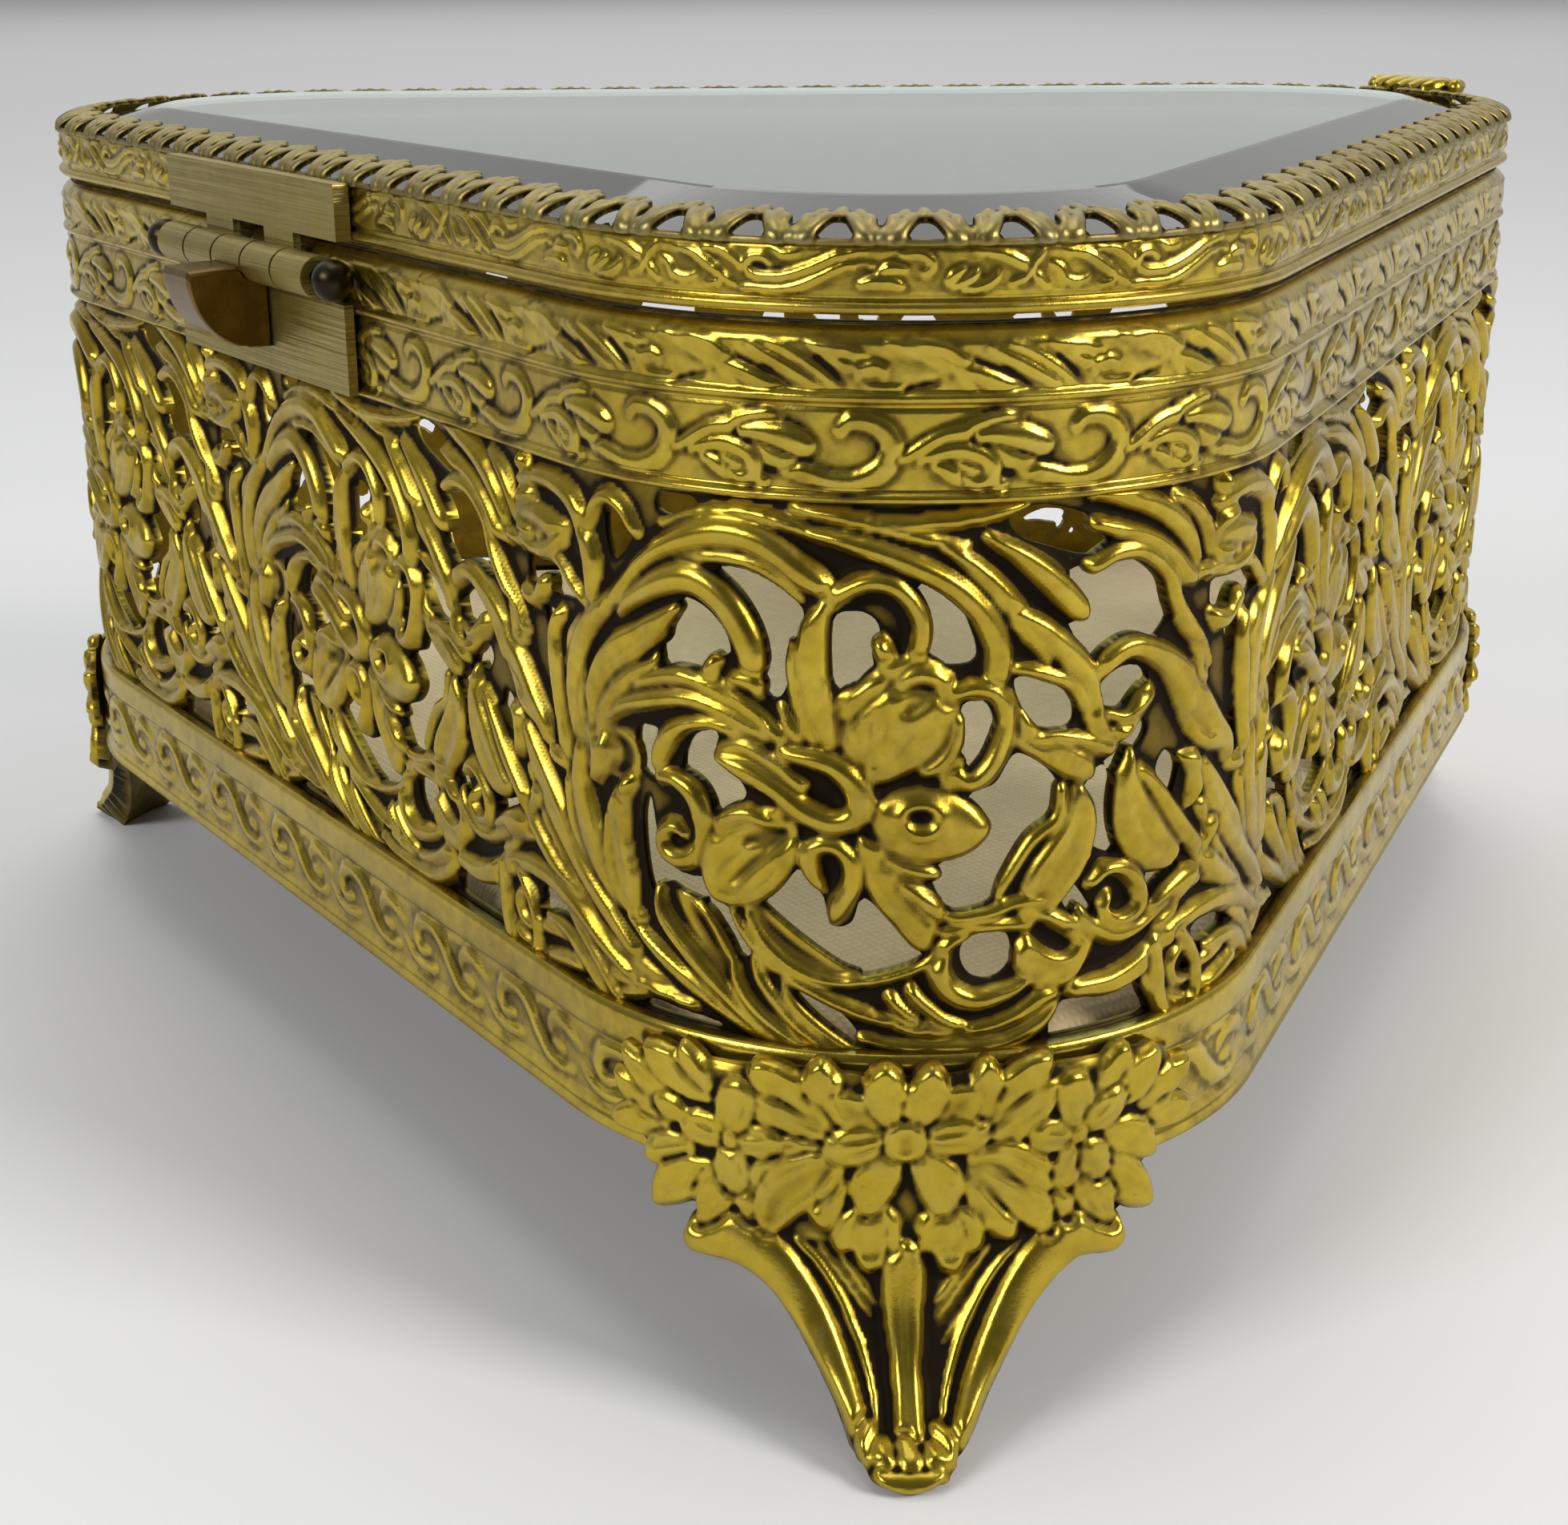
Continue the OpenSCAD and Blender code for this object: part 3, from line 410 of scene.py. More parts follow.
    ("r", 1, [(19.8, -29, 0.6), (18.4, -28.8, 1.1), (16.9, -29.6, 1.4), (16.2, -31.3, 1.4), (16.3, -33.1, 1.2), (17.6, -34.2, 1.3), (19, -34.1, 1.2), (19.5, -32.9, 1), (18.6, -32.1, 0.8), (17.7, -32.6, 0.6)]),  # comma
    ("r", 0.7, [(10.9, -22.8, 0.2), (10.4, -23.9, 0.6), (9.6, -25, 0.7), (8.7, -25.6, 0.4)]),  # bladeL2
    ("r", 0.9, [(10.2, -18.6, 0.2), (10.1, -20.3, 0.7), (9.6, -22.5, 0.9), (8.8, -24.4, 0.9), (8.2, -25.6, 0.6)]),  # bladeL
    ("g", 1, [(8, -16.1, 0.6), (8.7, -17.8, 1.5), (8.8, -20, 1.7), (8.4, -22.2, 1.7), (7.8, -24.2, 1.3), (7.4, -25.6, 0.7)]),  # blade
    ("r", 0.8, [(6.9, -26.1, 0.4), (6.9, -23.9, 0.7), (6.9, -22.2, 0.7), (6.2, -21.4, 0.3)]),  # fanR1
    ("r", 0.9, [(6.2, -26.4, 0.6), (6.2, -23.9, 0.9), (5.6, -21.9, 1), (4.7, -20.8, 0.4)]),  # fanR2
    ("r", 0.85, [(5.2, -27.2, 1.11), (4.5, -25.2, 3.94), (3.2, -23.2, 5.56), (2.3, -22.0, 4.4), (1.8, -21.1, 2.31)]),
    ("r", 0.8, [(6.6, -23.2, 0.65), (6.0, -22.1, 1.02), (5.0, -21.2, 1.02), (4.4, -20.9, 0.65)]),
    ("r", 0.8, [(3.4, -21.1, 0.65), (2.2, -20.5, 1.11), (0.8, -20.9, 1.02), (0.1, -22.0, 0.83)]),
    ("r", 0.8, [(-0.4, -23.5, 0.65), (-0.2, -25.0, 0.93), (0.5, -26.2, 0.93), (1.6, -26.9, 0.65)]),
    ("pit", -0.34, [(5.5, -26.6, 0.26), (6.2, -25.3, 0.34), (6.7, -24.1, 0.22)]),
    ("pit", -0.40, [(5.3, -26.4, 0.26), (5.8, -24.6, 0.38), (6.0, -23.1, 0.22)]),
    ("pit", -0.38, [(5.0, -26.3, 0.26), (5.1, -24.5, 0.38), (5.0, -22.7, 0.22)]),
    ("pit", -0.34, [(4.6, -26.4, 0.26), (4.3, -24.8, 0.34), (3.9, -23.2, 0.22)]),
    ("pit", -0.28, [(4.1, -26.6, 0.26), (3.3, -25.5, 0.34), (2.4, -24.2, 0.22)]),
    ("pit", -0.42, [(2.8, -22.6, 0.8), (2.1, -21.8, 1.4), (1.5, -21.5, 0.8)]),
    ("r", 1.0, [(-0.1, -21.8, 0.65), (-1.4, -21.4, 0.93), (-2.8, -22.0, 1.02), (-3.4, -23.4, 1.02), (-3.1, -25.0, 1.11), (-2.4, -26.6, 1.2), (-1.2, -27.6, 1.11), (-0.2, -27.0, 0.74)]),
    ("h", 0.95, [(10.7, -30.3, 0.8), (11.5, -31.7, 3.1), (12.9, -33.1, 4.7), (14, -34.4, 4.2), (15, -35.8, 1.7), (14.6, -36.5, 0.4)]),  # blobP
    ("r", 0.7, [(13.4, -30.2, 0.4), (12.1, -30.3, 0.9), (10.7, -30, 0.7)]),  # blobPu
    ("r", 0.9, [(15.1, -31.7, 0.56), (14.5, -30.8, 1.02), (13.1, -30.3, 1.02), (11.8, -30.7, 0.74), (10.7, -30.9, 0.46)]),
    ("pit", -0.42, [(10.0, -31.5, 0.4), (11.8, -32.8, 0.7), (13.3, -34.2, 0.55), (14.1, -35.1, 0.25)]),
    ("pit", -0.50, [(10.6, -31.3, 0.7), (12.0, -31.9, 1.1), (13.2, -32.2, 0.6)]),
    ("pit", -0.26, [(11.0, -33.4, 0.3), (12.0, -34.6, 0.35), (12.6, -35.6, 0.25)]),
    ("pit", -0.26, [(13.4, -32.9, 0.3), (14.6, -33.9, 0.35), (15.3, -34.8, 0.25)]),
    ("h", 0.95, [(5.7, -31.3, 0.4), (4.7, -32.8, 1.7), (3.4, -34.7, 2.8), (2.3, -36.4, 2.5), (1.8, -38.1, 1.4), (1.6, -38.9, 0.4)]),  # botR
    ("r", 0.9, [(4, -32.8, 0.4), (2.3, -33.3, 1), (0.8, -33.8, 0.6)]),  # botR2
    ("r", 0.95, [(2.9, -34.4, 0.6), (1.2, -35.8, 1.2), (0.5, -36.7, 0.6)]),  # botR3
    ("r", 1.05, [(8.1, -35, 0.5), (8.9, -33.6, 1.1), (8.8, -32.3, 1.2), (7.6, -31.8, 1.1), (6.4, -32.7, 1.1), (6.2, -34.4, 1.2), (7, -36.1, 1.3), (7.4, -37.2, 0.5)]),  # botbud
    ("r", 1, [(4.7, -29.1, 0.7), (3.7, -29.9, 2.5), (2.1, -30.3, 4.1), (0.1, -30.6, 3.6), (-1.6, -30.7, 1.7), (-2.4, -30.6, 0.4)]),  # almond
    ("add", 0.35, [(3.2, -29.7, 0.6), (2.4, -30.8, 0.7), (1.1, -30.7, 0.7), (0.6, -29.7, 0.7), (1.4, -28.9, 0.6), (2.7, -29, 0.6), (3.2, -29.7, 0.6)]),  # almond_ring
    ("pit", -0.7, [(2.3, -29.7, 0.8), (1.6, -29.7, 0.8)]),  # almond_eye
    ("r", 1.1, [(10.9, -26, 0.8), (9, -26.1, 1.2), (7.1, -26.7, 1.4), (5.8, -28.2, 1.6), (5.9, -29.7, 1.6), (7.3, -30.3, 1.5), (9.3, -29.7, 1.5), (11.2, -28.2, 1.5), (13.2, -27.3, 1.5), (15, -26.7, 0.9)]),  # uloop
    ("r", 0.85, [(15.1, -26.1, 0.4), (13.2, -25.8, 0.9), (11.2, -26.7, 0.9), (9.3, -28.1, 0.6)]),  # uloop2
]
# openings of one repeat
OPENINGS = [
    [(15.8, -14.2), (12.5, -14.6), (10, -16), (9.2, -17.5), (9.5, -19), (10.2, -21), (11.2, -22.6), (12.4, -21.8), (12.5, -19.5), (13.3, -17), (14.4, -15.3)],
    [(18.5, -16.9), (16.5, -17), (14.8, -18.4), (14.4, -20), (15.6, -20.2), (16.5, -21.5), (19, -21.8), (21.3, -22.2), (20.4, -20.8), (18.9, -19.5)],
    [(7.6, -17.4), (6.2, -16.6), (5, -17), (4.6, -18), (5.1, -19), (5, -20.4), (6.1, -21.2), (7.4, -22.2)],
    [(4.9, -12.9), (2.5, -13.7), (0.3, -15.3), (-1, -17.5), (-1.4, -19.8), (1.6, -19.8), (2.1, -18), (1.9, -16.4), (2.7, -14.8), (4.2, -14.1)],
    [(0.3, -24.6), (-0.5, -22.8), (-1.6, -22.2), (-2.6, -23.2), (-2.8, -25), (-2, -26.8), (-0.9, -26.9), (0.1, -26)],
    [(-4, -21.1), (-6, -21.4), (-7.9, -22.6), (-8.2, -24.4), (-6.3, -24.6), (-4.7, -23.6)],
    [(-4.2, -26), (-6.5, -27.3), (-7.5, -28.8), (-7.2, -30), (-5.8, -31.5), (-4.8, -33.5), (-3.2, -35.7), (-0.5, -36.4), (0.7, -35.2), (0.9, -33.4), (-2, -31.4), (-2.2, -30.2), (-0.6, -28.2), (-2.8, -28)],
    [(12.2, -36.3), (10.3, -34.4), (9.5, -33.8), (8.4, -35), (7.8, -36.5), (7.2, -37.6), (6.2, -37.2), (5.6, -35.6), (4.4, -36.3), (2.8, -38.1), (1.3, -39), (1.8, -40.2), (4, -40.9), (7, -41), (9.7, -40), (11.2, -38.4)],
    [(17.4, -26), (15.4, -25.2), (15.3, -27), (14, -28), (13.4, -29.4), (15.2, -30.7), (16.5, -29.1), (18, -28.2)],
    [(21.9, -26.2), (20.4, -25.8), (19.7, -26.4), (19.5, -28.6), (20.4, -29.4), (21.7, -28.8)],
    [(20.9, -30.6), (20.2, -33.5), (18.8, -35.3), (16.6, -35.4), (15.7, -34), (15.6, -36.5), (17.5, -37), (19.4, -36.4), (20.8, -37.4), (21.5, -35), (21.6, -32)],
    [(16.4, -36.6), (14.8, -36.8), (13.6, -36.5), (12.4, -37.5), (13, -40.2), (14.6, -40.8), (15.2, -39), (16, -38)],
    [(11.4, -41.2), (9.6, -41.6), (8, -42.6), (6.4, -44.2), (5.6, -45.6), (7.4, -45.9), (9, -45.2), (10.2, -43.6)],
    [(-1.2, -38.4), (-2.8, -38), (-4.1, -38.4), (-4.4, -40.2), (-3.4, -41.3), (-1.8, -41.2), (-0.9, -39.8)],
    [(-7.6, -44), (-11, -43.2), (-15.4, -42.4), (-15.6, -47), (-12, -47), (-7.8, -47)],
    [(-8.8, -28.2), (-10.8, -27.6), (-11.4, -29), (-11.8, -31.5), (-12.8, -34), (-10.6, -33.4), (-9.2, -32), (-8.6, -30)],
    [(-4, -12), (-3.4, -10.6), (-6, -10.2), (-9.5, -11.4), (-11.5, -12.8), (-9, -13.6), (-6, -12.8)],
    [(-6.6, -15.2), (-8.6, -14), (-10.4, -13.2), (-13, -14.6), (-15, -16.2), (-15.6, -18.6), (-13, -20.4), (-11.5, -19.2), (-9.2, -20.6), (-7.8, -18.4)],
    [(-9.8, -22.4), (-11.6, -21.2), (-13.6, -21.6), (-14, -23.2), (-12.4, -24), (-10.6, -23.8)],
    [(32.4, -20.2), (30.2, -20.6), (29, -23), (28.6, -26), (29.2, -29.6), (30.4, -31), (31, -28.6), (31.2, -25.6), (31.6, -22.6)],
    [(29.4, -33.4), (27.6, -32.6), (26, -34.4), (25.8, -36.6), (27, -38.2), (28.4, -36.8)],
    [(34.2, -16.4), (30.4, -15.8), (28, -16.6), (27.4, -18.6), (30.2, -19), (33.8, -19.6)],
    [(24.2, -11.6), (22.2, -11.6), (21.8, -13), (22.8, -14.6), (24, -15.2), (24.6, -13.2)],
    [(34.2, -41.2), (31, -41), (28.4, -42.2), (30.6, -43), (33.6, -42.6)],
    [(21.4, -45.4), (18.6, -45.4), (15, -45.8), (14, -47.2), (21.6, -47.2)],
    [(19.6, -10.2), (17.8, -10), (16.2, -10.8), (18, -11.6), (19.8, -11.4)],
    [(40.6, -34.8), (38.4, -34.6), (36.6, -34.9), (38.2, -37.4), (40.4, -37.8)],
    [(35.6, -43.6), (33.4, -41.8), (30.6, -42.2), (31.2, -44.4), (34.2, -44.6)],
    [(42, -20.4), (40.4, -19.4), (38.8, -17.8), (40.8, -16.2), (43.6, -16.8), (44.6, -18.4)],
    [(43.8, -25.2), (41.8, -24.2), (40.2, -25.6), (41.4, -27.2), (43.4, -28)],
    [(38.6, -27.6), (37, -28.6), (37.4, -30.6), (38.6, -31.4), (39.4, -29.6)],
    [(-8.5, -35.3), (-9.5, -36.3), (-10.3, -37.8), (-9.0, -37.9), (-8.0, -36.8), (-7.8, -35.8)],
]


# ------------------------------------------------------------------ materials
def nodes_of(name):
    m = bpy.data.materials.new(name)
    m.use_nodes = True
    nt = m.node_tree
    nt.nodes.clear()
    out = nt.nodes.new("ShaderNodeOutputMaterial")
    return m, nt, out


def add(nt, kind, **kw):
    n = nt.nodes.new(kind)
    for k, v in kw.items():
        setattr(n, k, v)
    return n


def ramp(nt, stops, interp="LINEAR"):
    r = add(nt, "ShaderNodeValToRGB")
    r.color_ramp.interpolation = interp
    e = r.color_ramp.elements
    e[0].position, e[0].color = stops[0][0], (*stops[0][1], 1)
    e[1].position, e[1].color = stops[-1][0], (*stops[-1][1], 1)
    for p, c in stops[1:-1]:
        x = e.new(p)
        x.color = (*c, 1)
    return r


def math_node(nt, op, a, b=None, clamp=False):
    m = add(nt, "ShaderNodeMath", operation=op, use_clamp=clamp)
    for i, v in enumerate((a, b)):
        if v is None:
            continue
        if isinstance(v, (int, float)):
            m.inputs[i].default_value = v
        else:
            nt.links.new(v, m.inputs[i])
    return m.outputs[0]


def mix_rgb(nt, fac, a, b, mode="MIX"):
    m = add(nt, "ShaderNodeMix", data_type="RGBA", blend_type=mode)
    for i, v in ((0, fac), (6, a), (7, b)):
        if isinstance(v, (int, float)):
            m.inputs[i].default_value = v
        elif isinstance(v, tuple):
            m.inputs[i].default_value = (*v, 1)
        else:
            nt.links.new(v, m.inputs[i])
    return m.outputs[2]


def noise(nt, scale, detail=4.0, rough=0.55, vec=None):
    t = add(nt, "ShaderNodeTexCoord")
    n = add(nt, "ShaderNodeTexNoise")
    n.inputs["Scale"].default_value = scale
    n.inputs["Detail"].default_value = detail
    n.inputs["Roughness"].default_value = rough
    nt.links.new(vec or t.outputs["Object"], n.inputs["Vector"])
    return n.outputs["Fac"]


def brass(name, light=(0.60, 0.43, 0.040), mid=(0.34, 0.235, 0.018), dark=(0.016, 0.011, 0.005), metal=0.92,
          rough=0.34, cavity=True, bump=0.25, patina=0.30, film=(0.27, 0.235, 0.10), lo=0.10, hi_=0.40, brushed=False, stain=0.55):
    """Antique gilt: smoother on the high points, brown patina and painted shade in the grooves, going near black in the
    deepest, a thin uneven film of tarnish.
    """
    m, nt, out = nodes_of(name)
    b = add(nt, "ShaderNodeBsdfPrincipled")
    nt.links.new(b.outputs[0], out.inputs[0])
    n_big = noise(nt, 45, 3)
    n_mid = noise(nt, 420, 5, 0.6)
    n_fine = noise(nt, 3200, 4, 0.6)
    tone = ramp(nt, [(0.30, mid), (0.62, light)])
    nt.links.new(math_node(nt, "ADD", math_node(nt, "MULTIPLY", n_big, 0.55), math_node(nt, "MULTIPLY", n_mid, 0.45)),
                 tone.inputs[0])
    spots = ramp(nt, [(0.46, (0, 0, 0)), (0.72, (1, 1, 1))])
    nt.links.new(n_mid, spots.inputs[0])
    col = mix_rgb(nt, math_node(nt, "MULTIPLY", spots.outputs[0], patina), tone.outputs[0], film)
    # brown staining in broad soft patches, broken up by a finer grain
    st = ramp(nt, [(0.44, (0, 0, 0)), (0.70, (1, 1, 1))])
    nt.links.new(math_node(nt, "ADD", math_node(nt, "MULTIPLY", noise(nt, 95, 4, 0.6), 0.65), math_node(nt, "MULTIPLY", noise(nt, 900, 3, 0.6), 0.35)), st.inputs[0])
    col = mix_rgb(nt, math_node(nt, "MULTIPLY", st.outputs[0], stain), col, (0.11, 0.062, 0.010))
    # patina and painted shade from the groove attribute: brown in the shallow grooves
    if cavity:
        at = add(nt, "ShaderNodeAttribute", attribute_name="patina_and_shade")
        c = math_node(nt, "ADD", at.outputs["Fac"], math_node(nt, "MULTIPLY", math_node(nt, "SUBTRACT", n_mid, 0.5), 0.30))
        sh = ramp(nt, [(lo * 0.2, (0, 0, 0)), (lo * 0.5 + hi_ * 0.5, (1, 1, 1))])
        nt.links.new(c, sh.inputs[0])
        col = mix_rgb(nt, math_node(nt, "MULTIPLY", sh.outputs[0], 0.62), col, (0.16, 0.095, 0.010))
        # painted shade: the deepest grooves and the sunken ground go near black
        cr = ramp(nt, [(lo + (hi_ - lo) * 0.3, (0, 0, 0)), (hi_ + (hi_ - lo) * 0.35, (1, 1, 1))])
        nt.links.new(c, cr.inputs[0])
        fac = cr.outputs[0]
        col = mix_rgb(nt, fac, col, dark)
        hi = ramp(nt, [(0.0, (1, 1, 1)), (0.30, (0, 0, 0))])
        nt.links.new(math_node(nt, "ADD", at.outputs["Fac"], 0.30), hi.inputs[0])
        ro = math_node(nt, "ADD", math_node(nt, "MULTIPLY", n_mid, 0.16), rough - 0.10)
        ro = math_node(nt, "ADD", ro, math_node(nt, "MULTIPLY", fac, 0.38))
        ro = math_node(nt, "SUBTRACT", ro, math_node(nt, "MULTIPLY", hi.outputs[0], 0.08), clamp=True)
    else:
        ro = math_node(nt, "ADD", math_node(nt, "MULTIPLY", n_mid, 0.22), rough - 0.11, clamp=True)
    nt.links.new(col, b.inputs["Base Color"])
    nt.links.new(ro, b.inputs["Roughness"])
    b.inputs["Metallic"].default_value = metal
    bp = add(nt, "ShaderNodeBump")
    bp.inputs["Strength"].default_value = bump
    bp.inputs["Distance"].default_value = 0.00008
    height = math_node(nt, "ADD", math_node(nt, "MULTIPLY", n_fine, 0.5), n_mid)
    if brushed:
        t = add(nt, "ShaderNodeTexCoord")
        mp = add(nt, "ShaderNodeMapping")
        mp.inputs["Scale"].default_value = (60, 60, 2600)
        nt.links.new(t.outputs["Object"], mp.inputs["Vector"])
        lines = noise(nt, 1.0, 2.0, 0.5, mp.outputs[0])
        height = math_node(nt, "ADD", height, math_node(nt, "MULTIPLY", lines, 3.0))
    nt.links.new(height, bp.inputs["Height"])
    nt.links.new(bp.outputs[0], b.inputs["Normal"])
    return m


M_FIL = brass("gilt_scrollwork", lo=0.10, hi_=0.44, bump=0.3)
M_BAND = brass("gilt_band", patina=0.25, lo=0.02, hi_=0.17, light=(0.62, 0.46, 0.055), mid=(0.38, 0.27, 0.026), bump=0.3, rough=0.25)
M_CROWN = brass("gilt_crown", patina=0.85, light=(0.34, 0.27, 0.080), mid=(0.19, 0.145, 0.038), rough=0.44, film=(0.22, 0.20, 0.12), bump=0.5)
M_CAST = brass("gilt_cast", light=(0.60, 0.44, 0.042), mid=(0.40, 0.28, 0.022), lo=0.06, hi_=0.30, bump=0.35, stain=0.35)
M_PLAIN = brass("gilt_plain", cavity=False, light=(0.54, 0.39, 0.048), mid=(0.33, 0.23, 0.024), rough=0.28, bump=0.35)
M_LEAF = brass("brushed_leaf", cavity=False, light=(0.36, 0.28, 0.070), mid=(0.25, 0.185, 0.042), rough=0.42, patina=0.6,
               bump=0.7, brushed=True, stain=0.3)
# the hinge stop's lug is coloured dark brown: painted shade
M_LUG_PAINTED_SHADE = brass("lug_painted_shade", cavity=False, light=(0.17, 0.095, 0.012), mid=(0.060, 0.032, 0.006), rough=0.28, patina=0.1)
M_INNER = brass("gilt_inside", cavity=False, light=(0.28, 0.19, 0.05), mid=(0.16, 0.11, 0.030), rough=0.42, metal=0.7)
# the hinge pin and its end balls are coloured near black
M_PIN = brass("near_black_pin", cavity=False, light=(0.030, 0.020, 0.010), mid=(0.012, 0.009, 0.006), rough=0.32, patina=0.05, stain=0.2)


def glass_material():
    m, nt, out = nodes_of("lid_glass_clear")
    b = add(nt, "ShaderNodeBsdfPrincipled")
    b.inputs["Base Color"].default_value = (0.68, 0.89, 0.87, 1)
    b.inputs["Roughness"].default_value = 0.02
    b.inputs["IOR"].default_value = 1.5
    b.inputs["Transmission Weight"].default_value = 1.0
    nt.links.new(b.outputs[0], out.inputs[0])
    return m


M_GLASS = glass_material()


def fabric_material():
    m, nt, out = nodes_of("pad_cloth")
    b = add(nt, "ShaderNodeBsdfPrincipled")
    nt.links.new(b.outputs[0], out.inputs[0])
    t = add(nt, "ShaderNodeTexCoord")
    wv = []
    for axis in ("X", "Y"):
        w = add(nt, "ShaderNodeTexWave", wave_type="BANDS", bands_direction=axis)
        w.inputs["Scale"].default_value = 520
        w.inputs["Distortion"].default_value = 1.2
        w.inputs["Detail"].default_value = 1.5
        w.inputs["Detail Scale"].default_value = 2.0
        nt.links.new(t.outputs["Object"], w.inputs["Vector"])
        wv.append(w.outputs["Fac"])
    weave = math_node(nt, "MULTIPLY", wv[0], wv[1])
    n1, n2 = noise(nt, 60, 4), noise(nt, 900, 4)
    r = ramp(nt, [(0.3, (0.50, 0.36, 0.20)), (0.7, (0.68, 0.51, 0.30))])
    nt.links.new(math_node(nt, "ADD", math_node(nt, "MULTIPLY", n1, 0.6), math_node(nt, "MULTIPLY", n2, 0.4)), r.inputs[0])
    col = mix_rgb(nt, math_node(nt, "MULTIPLY", weave, 0.35), r.outputs[0], (0.74, 0.58, 0.38))
    nt.links.new(col, b.inputs["Base Color"])
    b.inputs["Roughness"].default_value = 0.92
    b.inputs["Sheen Weight"].default_value = 0.25
    b.inputs["Specular IOR Level"].default_value = 0.2
    bp = add(nt, "ShaderNodeBump")
    bp.inputs["Strength"].default_value = 0.5
    bp.inputs["Distance"].default_value = 0.00015
    nt.links.new(math_node(nt, "ADD", weave, math_node(nt, "MULTIPLY", n2, 0.5)), bp.inputs["Height"])
    nt.links.new(bp.outputs[0], b.inputs["Normal"])
    return m


M_PAD = fabric_material()

# ------------------------------------------------------------------ pierced scrollwork wall
GRID = 0.22
fil = Field(-10.2, -10.2 + P, -46.5, -9.7, GRID, True, floor=-0.42)
for kind, top, pts in SCROLLS:
    fil.stroke(pts, top, kind, scale=1.24, base=-0.18, gain=0.84, trench=0.16, moat=0.25)
for outline in OPENINGS:
    fil.hole(outline)
fil.soften(1)
fs = np.maximum(fil.S, -fil.holes)
# a rail along the top and bottom edge keeps the strip whole
edge = np.minimum(fil.Y - (-46.5), -9.7 - fil.Y)
fs = np.maximum(fs, 0.45 - edge)
# groove darkness, plus painted shade along the edges of the openings and on the sunken ground between the strokes
fc = fil.cavity(GRID) + 0.26 * np.exp(-(np.maximum(fs, 0) / 0.20) ** 2) + 0.30 * np.clip((-0.30 - fil.H) / 0.08, 0, 1)
U8, fh8, fs8, fc8 = tiled(fil, 8, fil.H, fs, fc)
co, faces, flat, used = relief_sheet(U8, fil.Z, fh8, np.full(fh8.shape, -0.9), fs8, True, wall_points)
cav2 = np.concatenate([fc8.reshape(-1), np.full(fh8.size, 0.25)])[used]
new_object("scrollwork_wall", co, faces, "base", M_FIL, attrs={"patina_and_shade": cav2}, flat=flat,
           replaces=("pierced_wall_ring",))


# ------------------------------------------------------------------ bands
def ring_band(name, z0, z1, h, draw, off_face, off_back, body, nodes, n=30, mat=None, profile=None, floor=0.0):
    """An embossed strip all the way round: draw(field) draws one repeat on a flat face."""
    per = PERIM / n
    f = Field(0.0, per, z0, z1, h, True, floor=floor)
    draw(f)
    f.soften(1)
    patina_and_shade = f.cavity(h)
    H = f.H
    if profile is not None:
        H = H + profile(f.Y)
    U, Hn, cn = tiled(f, n, H, patina_and_shade)
    back = np.full(Hn.shape, off_back - off_face)
    co, faces, flat, used = relief_sheet(U, f.Z, Hn + off_face, back + off_face, None, True, wall_points)
    c = np.concatenate([cn.reshape(-1), np.full(Hn.size, 0.2)])[used]
    return new_object(name, co, faces, body, mat or M_BAND, attrs={"patina_and_shade": c}, flat=flat, replaces=nodes)


def strokes(f, items, **q):
    for kind, top, pts in items:
        f.stroke([(a, b, c) for a, b, c in pts], top, kind, **q)


